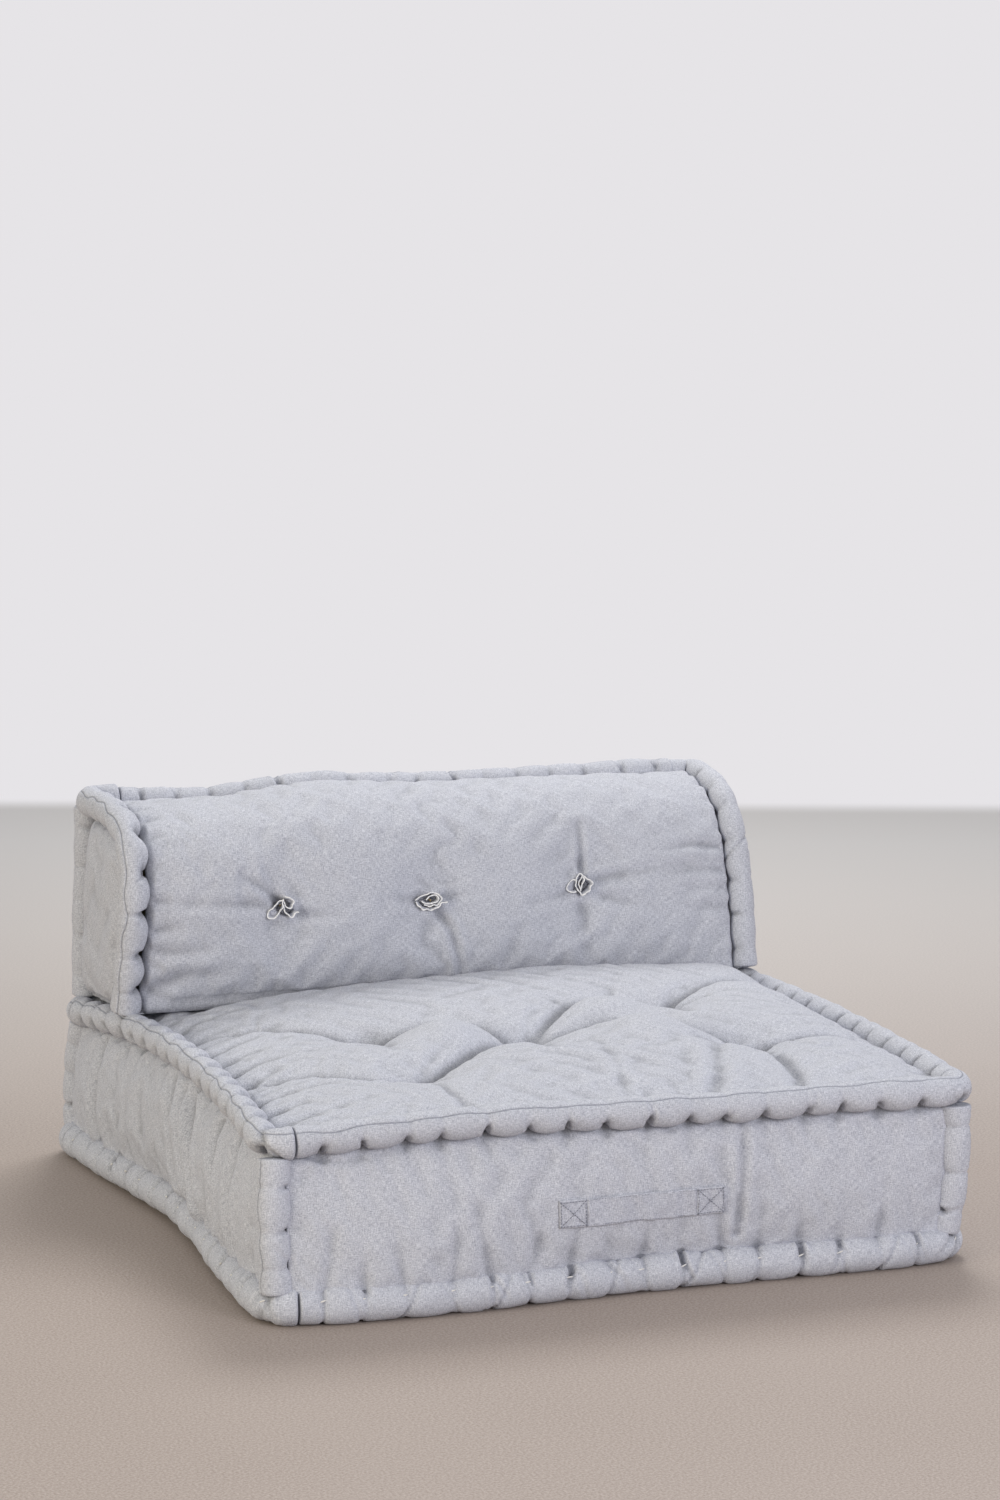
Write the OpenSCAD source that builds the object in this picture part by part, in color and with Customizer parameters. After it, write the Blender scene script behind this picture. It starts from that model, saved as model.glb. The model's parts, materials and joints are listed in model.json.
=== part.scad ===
// A low floor sofa: a tufted mattress seat with rolled edges, and a loose back cushion that stands on it.
// The origin is on the floor under the middle of the seat.
// +X is to the sitter's left, +Y to the rear, +Z up.

/* [Seat cushion] */
// Width of the seat over its rolled edges
seat_w = 1000; // [800:10:1200]
// Depth of the seat over its rolled edges
seat_d = 1000; // [850:10:1200]
// Height of the seat, from the floor to the top of its rolled edges
seat_h = 248; // [200:2:300]
// Rise of the seat's crown above its seam
seat_crown = 74; // [50:1:90]
// How far below the seam a tuft pulls the crown
seat_tuft_depth = 9; // [3:1:13]
// Reach of a seat tuft's hollow
seat_tuft_reach = 52; // [40:1:80]
// How far the padded borders bulge out of their seams
border_bulge = 16; // [6:1:18]
// Radius of the foam core's upright corners
core_corner_r = 70; // [60:1:120]

/* [Rolled edges] */
// Diameter of the rolled edges round the top of the seat
top_roll_d = 42; // [34:1:50]
// Diameter of the rolled edges round the bottom of the seat
bottom_roll_d = 50; // [40:1:60]
// Diameter of the upright rolled edges at the seat's corners
side_roll_d = 44; // [36:1:50]
// Diameter of the rolled edges of the back cushion
back_roll_d = 44; // [36:1:50]
// Distance between the stitches that pinch a rolled edge
stitch_pitch = 55; // [40:1:90]
// How deep a stitch pinches the roll
stitch_pinch = 2.5; // [0.5:0.5:5]
// Length of roll that one stitch draws in
stitch_grip = 14; // [6:1:24]
// How far the bottom rolls are pressed flat on the floor
floor_press = 1; // [0.5:0.5:3]

/* [Back cushion] */
// Height of the back cushion above the seat
back_h = 302; // [250:5:400]
// Depth of the back cushion at its foot, from its front rolls to its rear rolls
back_d = 266; // [250:2:320]
// Lean of the back cushion's left end, which is negative where it leans forwards
back_left_lean_angle = -11; // [-15:1:10]
// Lean of the back cushion's right end
back_right_lean_angle = 9; // [-10:1:12]
// Radius of the bend over which the front turns into the top at the left end
back_left_bend_r = 100; // [80:2:170]
// Radius of that bend at the right end
back_right_bend_r = 168; // [80:2:170]
// How far the front of the back cushion bulges
back_bulge = 22; // [10:1:26]
// How far a tuft pulls the front of the back cushion in
back_tuft_depth = 26; // [12:1:30]
// Reach of a back tuft's hollow
back_tuft_reach = 52; // [40:1:80]
// How far the rear and the ends of the back cushion bulge
back_side_bulge = 14; // [6:1:18]
// Height of the tufts above the foot of the back cushion
back_tuft_h = 145; // [110:1:170]
// Thickness of the wadding behind the front cover of the back cushion
back_wadding = 26; // [20:1:34]

/* [Carry strap] */
// Length of the carry strap with its sewn ends
strap_l = 233; // [160:1:300]
// Width of the carry strap
strap_w = 38; // [25:1:50]
// Thickness of the strap's webbing
strap_t = 2; // [1:0.5:3]
// Length of each sewn end of the strap
strap_end = 39; // [25:1:50]
// Distance of the strap's middle from the middle of the front
strap_x = 20; // [-60:1:60]
// Height of the strap's centre line above the floor
strap_z = 115; // [95:1:150]

/* [Cloth and tufts] */
// Thickness of the cotton cover
cloth_t = 1.6; // [1:0.2:2.4]
// Diameter of the twine that pulls a tuft in
twine_d = 3; // [2:0.5:4]
// Diameter of a knot, and of the tie in the middle of a rosette
tie_d = 7; // [6:0.5:8]
// How far a seat knot's disc stands off the bottom of its hollow
knot_lift = 9; // [8:0.5:11]
// Diameter of one ribbon loop of a rosette
loop_d = 13; // [11:0.5:15]
// Thickness of the ribbon
ribbon_t = 1.5; // [1:0.25:2]
// Width of the ribbon, which is the height of a rosette
ribbon_w = 8; // [6:0.5:10]
// How far a rosette's loops stand off the bottom of its hollow
rosette_lift = 9; // [8:0.5:11]
// Radius of the dimple that holds a knot under the seat
dimple_r = 18; // [15:1:22]
// Depth of that dimple
dimple_h = 14; // [12:0.5:24]

/* [Hidden] */
$fn = 48;
// Running gap between neighbouring pieces
gap = 0.3;
// Gap between the back cushion's core and its wadding
core_gap = 1.5;
// Clearance of a twine in its hole
twine_gap = 0.3;
// How far a cut runs past what it cuts
overrun = 5;
// Steps of the padded surfaces along and across
seat_steps = 20;
border_steps = [16, 5];
back_steps = [22, 12];
back_core_steps = 6;
end_steps = [5, 7];
strap_steps = [2, 6];
// How square the crown of each surface is
crown_power = 4;
border_power = 6;
back_power = 6;
// The seat's tufts, as shares of its width and depth from the middle
tuft_column_shares = [-0.21, -0.01, 0.238, 0.28];
tuft_row_shares = [-0.275, -0.245, -0.125, -0.045, -0.005, 0.31];
// Column and row of each seat tuft
tuft_places = [[0, 0], [3, 1], [1, 2], [0, 3], [2, 4], [0, 5], [3, 5]];
// The back's tufts, as shares of its width from the middle
back_tuft_shares = [-0.242, -0.015, 0.22];
// Length of seat, in front of the back cushion, over which the crown dives under it
dive_d = 46;

// Rolled edges and seams of the seat
top_r = top_roll_d / 2;
bottom_r = bottom_roll_d / 2;
side_r = side_roll_d / 2;
half_w = seat_w / 2;
half_d = seat_d / 2;
seam_z = seat_h - top_r;
top_x = half_w - top_roll_d - gap;
top_y = half_d - top_roll_d - gap;
bottom_roll_top = bottom_roll_d - floor_press;
border_z0 = bottom_roll_top + gap;
border_z1 = seat_h - top_roll_d - gap;
border_x = half_w - side_roll_d - gap;
border_y = half_d - side_roll_d - gap;
front_y = half_d - side_r;
end_x = half_w - side_r;

// Back cushion: its foot, its seams and its top
back_r = back_roll_d / 2;
back_z0 = seat_h + gap;
back_front = half_d - back_d + back_r;
back_rear = half_d - back_r;
back_top = seat_h + back_h - back_r;
back_half = half_w - back_roll_d - gap;
back_end = half_w - back_r;
back_skirt = back_z0 + cloth_t + gap;
panel_y1 = back_rear - back_r - gap;
panel_z1 = back_top - back_r - gap;
back_tuft_z = back_z0 + back_tuft_h;

// Places of the tufts
tuft_xs = [for (share = tuft_column_shares) share * seat_w];
tuft_ys = [for (share = tuft_row_shares) share * seat_d];
tufts = [for (place = tuft_places) [tuft_xs[place[0]], tuft_ys[place[1]]]];
back_tuft_xs = [for (share = back_tuft_shares) share * seat_w];
tie_lift = tie_d / 2;
twine_hole_d = twine_d + 2 * twine_gap;

// Layers of the seat
core_z0 = cloth_t + gap;
core_z1 = border_z1;
wadding_z0 = core_z1 + gap;
press_y0 = back_front - back_r - dive_d;
press_y1 = press_y0 + dive_d;
pressed_z = seat_h - gap;

// Shared shapes
function blend01(t) = let (c = min(1, max(0, t))) c * c * (3 - 2 * c);
function pillow(u, v, power) = (1 - pow(abs(u), power)) * (1 - pow(abs(v), power));
function dent(d2, reach) = exp(-d2 / (reach * reach));
// A pit that is pointed at its middle and opens wide
function pit(d2, blunt, reach) = exp((blunt - sqrt(d2 + blunt * blunt)) / reach);
function total(values, i = 0) = i < len(values) ? values[i] + total(values, i + 1) : 0;
function steps(from, to, count) = [for (i = [0 : count]) from + (to - from) * i / count];
// A list of grid lines in which the line nearest each mark moves onto it
function nearest(value, marks, reach) = [for (m = marks) if (abs(m - value) <= reach) m];
function snapped(lines, marks, reach) = [
    for (i = [0 : len(lines) - 1])
        let (hit = (i == 0 || i == len(lines) - 1) ? [] : nearest(lines[i], marks, reach))
            len(hit) > 0 ? hit[0] : lines[i]
];

// A closed padded sheet between two surfaces on one grid, where us cross vs points outwards
module padded_sheet(outer, inner, us, vs) {
    nu = len(us);
    nv = len(vs);
    count = nu * nv;
    outer_points = [for (v = vs) for (u = us) outer(u, v)];
    inner_points = [for (v = vs) for (u = us) inner(u, v)];
    outer_faces = [
        for (j = [0 : nv - 2]) for (i = [0 : nu - 2])
            let (a = j * nu + i, b = a + 1, c = b + nu, d = a + nu)
                each [[a, d, c], [a, c, b]]
    ];
    inner_faces = [for (face = outer_faces) [face[2] + count, face[1] + count, face[0] + count]];
    rim = concat(
        [for (i = [0 : nu - 1]) i],
        [for (j = [1 : nv - 1]) j * nu + nu - 1],
        [for (i = [1 : nu - 1]) nv * nu - 1 - i],
        [for (j = [1 : nv - 2]) (nv - 1 - j) * nu]
    );
    rim_faces = [
        for (k = [0 : len(rim) - 1])
            let (a = rim[k], b = rim[(k + 1) % len(rim)])
                each [[a, b, b + count], [a, b + count, a + count]]
    ];
    polyhedron(concat(outer_points, inner_points), concat(outer_faces, inner_faces, rim_faces));
}

// A round roll along +Z, drawn in where its stitches pass
module stitched_roll(length, d) {
    count = max(1, round(length / stitch_pitch));
    pitch = length / count;
    r = d / 2;
    grip = min(stitch_grip, pitch) / 2;
    outline = concat(
        [[0, 0], [r, 0]],
        [
            for (i = [1 : 1 : count - 1])
                each [[r, i * pitch - grip], [r - stitch_pinch, i * pitch], [r, i * pitch + grip]]
        ],
        [[r, length], [0, length]]
    );
    rotate_extrude() polygon(outline);
}

module roll_along_x(from, to, y, z, d) {
    translate([from, y, z]) rotate([0, 90, 0]) stitched_roll(to - from, d);
}

module roll_along_y(from, to, x, z, d) {
    translate([x, from, z]) rotate([-90, 0, 0]) stitched_roll(to - from, d);
}

// A roll along X with a round end at each corner
module corner_to_corner_roll(y, z, d) {
    reach = half_w - d / 2;
    union() {
        roll_along_x(-reach, reach, y, z, d);
        for (side = [-1, 1])
            translate([side * reach, y, z]) sphere(d = d);
    }
}

module rounded_block(x, y, z0, z1, r) {
    translate([0, 0, z0]) linear_extrude(z1 - z0) union() {
        square([2 * x, 2 * (y - r)], center = true);
        square([2 * (x - r), 2 * y], center = true);
        for (sx = [-1, 1]) for (sy = [-1, 1])
            translate([sx * (x - r), sy * (y - r)]) circle(r);
    }
}

// Rosettes, knots and twines
module rosette() {
    loop_x = loop_d / 2;
    translate([0, 0, tie_lift]) cylinder(d = tie_d, h = rosette_lift + ribbon_w - tie_lift);
    translate([0, 0, rosette_lift]) linear_extrude(ribbon_w)
        for (side = [-1, 1])
            translate([side * loop_x, 0]) difference() {
                circle(d = loop_d);
                circle(d = loop_d - 2 * ribbon_t);
            }
}

module knot() {
    cylinder(d = 2 * tie_d, h = ribbon_t);
    cylinder(d = tie_d, h = tie_d);
}

module above(z) {
    difference() {
        children();
        translate([-seat_w, -seat_d, z - seat_h]) cube([2 * seat_w, 2 * seat_d, seat_h]);
    }
}

// Seat
function seat_pull(x, y) =
    min(1, total([for (t = tufts) pit(pow(x - t[0], 2) + pow(y - t[1], 2), tie_d, seat_tuft_reach)]));
function seat_free_z(x, y) =
    seam_z + pillow(x / top_x, y / top_y, crown_power)
        * (seat_crown - (seat_crown + seat_tuft_depth) * seat_pull(x, y));
function seat_top_z(x, y) =
    let (free = seat_free_z(x, y), press = blend01((y - press_y0) / (press_y1 - press_y0)))
        free + (min(free, pressed_z) - free) * press;
function seat_top_xs() =
    snapped(steps(-top_x, top_x, seat_steps), tuft_xs, top_x / seat_steps);
function seat_top_ys() =
    snapped(steps(-top_y, top_y, seat_steps), concat(tuft_ys, [press_y0, press_y1]), top_y / seat_steps);

module seat_twine_holes() {
    for (t = tufts)
        translate([t[0], t[1], -overrun]) cylinder(d = twine_hole_d, h = 2 * seat_h);
}

module seat_core() {
    color("khaki") difference() {
        union() {
            rounded_block(half_w - bottom_roll_d - gap, half_d - bottom_roll_d - gap,
                core_z0, border_z0 + overrun, core_corner_r);
            rounded_block(end_x - cloth_t - gap, front_y - cloth_t - gap, border_z0, core_z1, core_corner_r);
        }
        seat_twine_holes();
        for (t = tufts)
            translate([t[0], t[1], 0]) cylinder(r = dimple_r + cloth_t + gap, h = dimple_h + cloth_t + gap);
    }
}

module seat_top_wadding() {
    under = cloth_t + gap;
    color("ivory") difference() {
        padded_sheet(
            function (x, y) [x, y, seat_top_z(x, y) - under],
            function (x, y) [x, y, wadding_z0],
            seat_top_xs(), seat_top_ys());
        seat_twine_holes();
    }
}

module seat_top_cover() {
    color("lightsteelblue") difference() {
        padded_sheet(
            function (x, y) [x, y, seat_top_z(x, y)],
            function (x, y) [x, y, seat_top_z(x, y) - cloth_t],
            seat_top_xs(), seat_top_ys());
        seat_twine_holes();
    }
}

module seat_bottom_cover() {
    x = half_w - bottom_roll_d - gap;
    y = half_d - bottom_roll_d - gap;
    color("lightsteelblue") difference() {
        union() {
            translate([-x, -y, 0]) cube([2 * x, 2 * y, cloth_t]);
            for (t = tufts)
                translate([t[0], t[1], 0]) cylinder(r = dimple_r + cloth_t, h = dimple_h + cloth_t);
        }
        for (t = tufts)
            translate([t[0], t[1], -overrun]) cylinder(r = dimple_r, h = dimple_h + overrun);
        seat_twine_holes();
    }
}

// Height of a border's bulge at a place along it and up it
function border_rise(along, half_length, z) =
    let (v = 2 * (z - border_z0) / (border_z1 - border_z0) - 1)
        border_bulge * pillow(along / half_length, v, border_power);

// A border that faces -Y, for a side of the given half length, whose seam plane is at the given distance
module border(half_length, seam) {
    color("lightsteelblue") padded_sheet(
        function (x, z) [x, -seam - border_rise(x, half_length, z), z],
        function (x, z) [x, -seam + cloth_t, z],
        steps(-half_length, half_length, border_steps[0]),
        steps(border_z0, border_z1, border_steps[1]));
}

module seat_front_border() { border(border_x, front_y); }
module seat_rear_border() { rotate([0, 0, 180]) border(border_x, front_y); }
module seat_left_border() { rotate([0, 0, -90]) border(border_y, end_x); }
module seat_right_border() { rotate([0, 0, 90]) border(border_y, end_x); }

module seat_long_roll(sign, z, d) {
    color("lightsteelblue") corner_to_corner_roll(sign * (half_d - d / 2), z, d);
}

module seat_cross_roll(sign, z, d) {
    reach = half_d - d - gap;
    color("lightsteelblue") roll_along_y(-reach, reach, sign * (half_w - d / 2), z, d);
}

module seat_long_foot(sign) {
    above(0) seat_long_roll(sign, bottom_r - floor_press, bottom_roll_d);
}

module seat_cross_foot(sign) {
    above(0) seat_cross_roll(sign, bottom_r - floor_press, bottom_roll_d);
}

module seat_corner_roll(sx, sy) {
    color("lightsteelblue") translate([sx * end_x, sy * front_y, border_z0])
        stitched_roll(border_z1 - border_z0, side_roll_d);
}

function seat_knot_z(t) = seat_top_z(t[0], t[1]) + knot_lift;
knot_z0 = dimple_h - gap;

module seat_tuft_twines() {
    color("wheat") for (t = tufts)
        translate([t[0], t[1], knot_z0]) cylinder(d = twine_d, h = seat_knot_z(t) - knot_z0);
}

module seat_top_knots() {
    color("gray") for (t = tufts)
        translate([t[0], t[1], seat_knot_z(t)]) knot();
}

module seat_bottom_knots() {
    color("gray") for (t = tufts)
        translate([t[0], t[1], knot_z0]) mirror([0, 0, 1]) knot();
}

// Carry strap
function strap_y(x, z) = -front_y - border_rise(x, border_x, z);

module strap_piece(from, to, count) {
    color("lightsteelblue") padded_sheet(
        function (x, z) [x, strap_y(x, z) - gap - strap_t, z],
        function (x, z) [x, strap_y(x, z) - gap, z],
        steps(from, to, count),
        steps(strap_z - strap_w / 2, strap_z + strap_w / 2, strap_steps[0]));
}

module strap_left_end() {
    strap_piece(strap_x - strap_l / 2, strap_x - strap_l / 2 + strap_end, strap_steps[0]);
}

module strap_right_end() {
    strap_piece(strap_x + strap_l / 2 - strap_end, strap_x + strap_l / 2, strap_steps[0]);
}

module strap_grip() {
    reach = strap_l / 2 - strap_end - gap;
    strap_piece(strap_x - reach, strap_x + reach, strap_steps[1]);
}

// Back cushion
// Lean and bend radius of the front's seam line, which change evenly from end to end
function along_back(left, right, x) = left + (right - left) * (x + back_end) / (2 * back_end);
function lean_at(x) = along_back(back_left_lean_angle, back_right_lean_angle, x);
function bend_at(x) = along_back(back_left_bend_r, back_right_bend_r, x);
// Height and depth at which that line starts to bend, and the depth of the bend's centre
function bend_z(x) = back_top - bend_at(x) * (1 - sin(lean_at(x)));
function bend_y(x) = back_front + (bend_z(x) - back_z0) * tan(lean_at(x));
function bend_centre_y(x) = bend_y(x) + bend_at(x) * cos(lean_at(x));
// Lengths of the line's straight rise, its bend and its flat top
function rise_l(x) = (bend_z(x) - back_skirt) / cos(lean_at(x));
function bend_l(x) = bend_at(x) * (90 - lean_at(x)) * PI / 180;
function front_l(x) = rise_l(x) + bend_l(x) + panel_y1 - bend_centre_y(x);
// Where the line lies at a length s, as [y, z, direction of its outward side]
function back_path(x, s) =
    let (r = bend_at(x), lean = lean_at(x), over = s - rise_l(x))
        over < 0 ? [bend_y(x) + over * sin(lean), bend_z(x) + over * cos(lean), lean]
        : over < bend_l(x) ?
            let (a = lean + over / r * 180 / PI)
                [bend_centre_y(x) - r * cos(a), back_top - r + r * sin(a), a]
        : [bend_centre_y(x) + over - bend_l(x), back_top, 90];
function tuft_s(x) = (back_tuft_z - back_skirt) / cos(lean_at(x));
function back_rise(x, share) =
    back_bulge * pillow(x / back_half, 2 * share - 1, back_power)
    - back_tuft_depth * min(1, total([
        for (tx = back_tuft_xs)
            dent(pow(x - tx, 2) + pow(share * front_l(x) - tuft_s(x), 2), back_tuft_reach)
    ]));
function back_point(x, share, out) =
    let (p = back_path(x, share * front_l(x)))
        [x, p[0] - out * cos(p[2]), max(back_skirt, p[1] + out * sin(p[2]))];
function back_xs() =
    snapped(steps(-back_half, back_half, back_steps[0]), back_tuft_xs, back_half / back_steps[0]);
tuft_share = tuft_s(0) / front_l(0);
function back_shares() =
    snapped(steps(0, 1, back_steps[1]), [tuft_share], 1 / back_steps[1] / 2);
function tuft_front(tx) = back_point(tx, tuft_share, back_rise(tx, tuft_share));

module back_twine_holes() {
    for (tx = back_tuft_xs)
        translate([tx, 0, back_tuft_z]) rotate([-90, 0, 0])
            cylinder(d = twine_hole_d, h = half_d + overrun);
}

module back_core() {
    depth = back_wadding + core_gap;
    z1 = back_top - depth;
    color("khaki") difference() {
        padded_sheet(
            function (x, share) back_point(x, share, -depth),
            function (x, share) [x, back_rear - cloth_t - gap, back_skirt + (z1 - back_skirt) * share],
            steps(-back_half, back_half, back_core_steps), back_shares());
        back_twine_holes();
    }
}

module back_front_wadding() {
    under = cloth_t + gap;
    color("ivory") difference() {
        padded_sheet(
            function (x, share) back_point(x, share, back_rise(x, share) - under),
            function (x, share) back_point(x, share, -back_wadding),
            back_xs(), back_shares());
        back_twine_holes();
    }
}

module back_front_cover() {
    color("lightsteelblue") difference() {
        padded_sheet(
            function (x, share) back_point(x, share, back_rise(x, share)),
            function (x, share) back_point(x, share, back_rise(x, share) - cloth_t),
            back_xs(), back_shares());
        back_twine_holes();
    }
}

function rear_rise(x, z) =
    let (v = 2 * (z - back_skirt) / (panel_z1 - back_skirt) - 1)
        back_side_bulge * (pillow(x / back_half, v, back_power) - min(1, total([
            for (tx = back_tuft_xs) dent(pow(x - tx, 2) + pow(z - back_tuft_z, 2), back_tuft_reach)
        ])));

module back_rear_panel() {
    zs = steps(back_skirt, panel_z1, end_steps[1]);
    color("lightsteelblue") difference() {
        padded_sheet(
            function (z, x) [x, back_rear + rear_rise(x, z), z],
            function (z, x) [x, back_rear - cloth_t, z],
            snapped(zs, [back_tuft_z], zs[1] - zs[0]), back_xs());
        back_twine_holes();
    }
}

module back_base_panel() {
    outer_y = back_front - cloth_t;
    inner_y = back_front + back_r + cloth_t;
    color("lightsteelblue") translate([0, 0, back_z0]) linear_extrude(cloth_t) union() {
        translate([-back_half, outer_y]) square([2 * back_half, back_rear - outer_y]);
        translate([-back_end, inner_y]) square([2 * back_end, panel_y1 - inner_y]);
    }
}

// The front edge of an end panel, inside its bent roll, at a height
function end_front_y(x, z) =
    let (inset = back_r + gap, lean = lean_at(x), r = bend_at(x) - inset, up = z - back_top + bend_at(x))
        up < r * sin(lean) ? back_front + (z - back_z0) * tan(lean) + inset / cos(lean)
        : bend_centre_y(x) - sqrt(max(0, r * r - up * up));

module end_panel(side) {
    x = side * back_end;
    color("lightsteelblue") mirror([side < 0 ? 1 : 0, 0, 0]) padded_sheet(
        function (u, z) [
            back_end + back_side_bulge
                * pillow(2 * u - 1, 2 * (z - back_skirt) / (panel_z1 - back_skirt) - 1, back_power),
            end_front_y(x, z) + (panel_y1 - end_front_y(x, z)) * u,
            z
        ],
        function (u, z) [back_half + gap, end_front_y(x, z) + (panel_y1 - end_front_y(x, z)) * u, z],
        steps(0, 1, end_steps[0]), steps(back_skirt, panel_z1, end_steps[1]));
}

// The roll round the front of an end, in three lengths: up the front, round the bend, and back along the top
module end_roll(side) {
    x = side * back_end;
    r = bend_at(x);
    lean = lean_at(x);
    color("lightsteelblue") {
        above(back_z0) translate([x, bend_y(x), bend_z(x)]) rotate([180 - lean, 0, 0])
            translate([0, 0, gap]) stitched_roll(rise_l(x) + back_r, back_roll_d);
        translate([x, bend_centre_y(x), back_top - r]) rotate([90, 0, -90]) rotate([0, 0, lean])
            rotate_extrude(angle = 90 - lean) translate([r, 0]) circle(back_r);
        union() {
            roll_along_y(bend_centre_y(x) + gap, back_rear, x, back_top, back_roll_d);
            translate([x, back_rear, back_top]) sphere(back_r);
        }
    }
}

module back_top_rear_roll() {
    color("lightsteelblue") roll_along_x(-back_half, back_half, back_rear, back_top, back_roll_d);
}

module back_upright_roll(side) {
    color("lightsteelblue") translate([side * back_end, back_rear, back_z0])
        stitched_roll(panel_z1 - back_z0, back_roll_d);
}

module back_tuft_twines() {
    color("wheat") for (tx = back_tuft_xs) {
        y0 = tuft_front(tx)[1] - tie_lift;
        y1 = back_rear + rear_rise(tx, back_tuft_z) + tie_lift;
        translate([tx, y0, back_tuft_z]) rotate([-90, 0, 0]) cylinder(d = twine_d, h = y1 - y0);
    }
}

module back_front_rosettes() {
    color("gray") for (tx = back_tuft_xs)
        translate([tx, tuft_front(tx)[1], back_tuft_z]) rotate([90, 0, 0]) rosette();
}

module back_rear_rosettes() {
    color("gray") for (tx = back_tuft_xs)
        translate([tx, back_rear + rear_rise(tx, back_tuft_z), back_tuft_z]) rotate([-90, 0, 0]) rosette();
}

seat_core();
seat_top_wadding();
seat_top_cover();
seat_bottom_cover();
seat_front_border();
seat_rear_border();
seat_left_border();
seat_right_border();
seat_long_roll(-1, seam_z, top_roll_d);  // seat_top_front_roll
seat_long_roll(1, seam_z, top_roll_d);  // seat_top_rear_roll
seat_cross_roll(-1, seam_z, top_roll_d);  // seat_top_left_roll
seat_cross_roll(1, seam_z, top_roll_d);  // seat_top_right_roll
seat_long_foot(-1);  // seat_bottom_front_roll
seat_long_foot(1);  // seat_bottom_rear_roll
seat_cross_foot(-1);  // seat_bottom_left_roll
seat_cross_foot(1);  // seat_bottom_right_roll
seat_corner_roll(-1, -1);  // seat_front_left_roll
seat_corner_roll(1, -1);  // seat_front_right_roll
seat_corner_roll(-1, 1);  // seat_rear_left_roll
seat_corner_roll(1, 1);  // seat_rear_right_roll
seat_tuft_twines();
seat_top_knots();
seat_bottom_knots();
strap_left_end();
strap_right_end();
strap_grip();
back_core();
back_front_wadding();
back_front_cover();
back_rear_panel();
back_base_panel();
end_panel(-1);  // back_left_end_panel
end_panel(1);  // back_right_end_panel
end_roll(-1);  // back_left_end_roll
end_roll(1);  // back_right_end_roll
back_top_rear_roll();
back_upright_roll(-1);  // back_rear_left_roll
back_upright_roll(1);  // back_rear_right_roll
back_tuft_twines();
back_front_rosettes();
back_rear_rosettes();
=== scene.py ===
# %% [markdown]
# A floor sofa module: a tufted mattress seat that lies on the floor, and a loose back cushion that stands on it.
# Both are cotton canvas over foam and wadding, with stuffed rolled edges that are stitched by hand.
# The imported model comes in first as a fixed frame, in metres. Each piece made below lies where its node lies.

# %% The frame
import json
import math
import bpy
import numpy as np
from mathutils import Matrix, Vector


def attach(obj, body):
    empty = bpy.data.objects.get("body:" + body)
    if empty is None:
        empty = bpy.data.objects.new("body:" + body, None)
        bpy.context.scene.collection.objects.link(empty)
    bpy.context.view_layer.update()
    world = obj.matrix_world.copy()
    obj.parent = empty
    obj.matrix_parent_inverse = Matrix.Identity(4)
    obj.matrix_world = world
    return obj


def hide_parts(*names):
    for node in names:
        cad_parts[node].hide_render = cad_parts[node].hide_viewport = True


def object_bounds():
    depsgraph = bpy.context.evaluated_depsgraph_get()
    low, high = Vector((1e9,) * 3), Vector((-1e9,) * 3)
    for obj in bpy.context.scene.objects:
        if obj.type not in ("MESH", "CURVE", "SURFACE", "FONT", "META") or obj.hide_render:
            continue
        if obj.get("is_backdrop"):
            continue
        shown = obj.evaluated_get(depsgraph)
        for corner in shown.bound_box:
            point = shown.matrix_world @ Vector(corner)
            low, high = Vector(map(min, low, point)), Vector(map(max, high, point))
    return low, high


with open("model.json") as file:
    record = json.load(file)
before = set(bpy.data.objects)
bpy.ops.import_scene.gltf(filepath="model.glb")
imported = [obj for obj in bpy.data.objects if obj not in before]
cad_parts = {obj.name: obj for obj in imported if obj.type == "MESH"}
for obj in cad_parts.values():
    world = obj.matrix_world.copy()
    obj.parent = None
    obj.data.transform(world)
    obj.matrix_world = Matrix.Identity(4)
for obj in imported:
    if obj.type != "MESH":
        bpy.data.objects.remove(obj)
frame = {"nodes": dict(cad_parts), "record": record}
scene = bpy.context.scene
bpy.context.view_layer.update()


def new_object(name, data):
    made = bpy.data.objects.new(name, data)
    scene.collection.objects.link(made)
    return made

# %% [markdown]
# The camera comes before the object, so that every look is at the photograph's angle. Its place, turn and lens were
# worked out once from the corners of the two cushions. The focal length is in pixels of a 1000 x 1500 picture, and
# Blender wants it in millimetres for a sensor that is 36 mm along the longer side.

# %% Camera
LONG_SIDE_PIXELS, SENSOR_MM, FOCAL_PIXELS = 1500, 36.0, 4692.29
CAMERA_AT = (-2.1223, -6.0821, 1.6788)
yaw, pitch, roll = 0.335350, -0.158820, 0.004309     # radians

ahead = Vector((math.sin(yaw) * math.cos(pitch), math.cos(yaw) * math.cos(pitch), math.sin(pitch)))
level = Vector((math.cos(yaw), -math.sin(yaw), 0))
upward = level.cross(ahead)
right = level * math.cos(roll) + upward * math.sin(roll)
top = upward * math.cos(roll) - level * math.sin(roll)

lens = bpy.data.cameras.new("photo_camera")
lens.sensor_width = SENSOR_MM
lens.lens = FOCAL_PIXELS / LONG_SIDE_PIXELS * SENSOR_MM
lens.clip_end = 60
camera = new_object("photo_camera", lens)
turn = Matrix((right, top, -ahead)).transposed().to_4x4()
camera.matrix_world = Matrix.Translation(CAMERA_AT) @ turn
scene.camera = camera
scene.view_settings.view_transform = "Standard"
print("lens", round(lens.lens, 1), "mm")

# %% [markdown]
# Colours are written as the sRGB hex codes that a paint program shows. Shaders work in linear light, so one function
# turns a code to linear. A second one adds a node: its settings are plain names, and each of its inputs is a value,
# a hex colour, another node's output, or just a node, whose first output in use is then linked.

# %% Colour and node helpers
def linear(code):
    parts = [int(code[i:i + 2], 16) / 255 for i in (1, 3, 5)]
    return tuple(p / 12.92 if p <= 0.04045 else ((p + 0.055) / 1.055) ** 2.4 for p in parts) + (1.0,)


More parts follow.
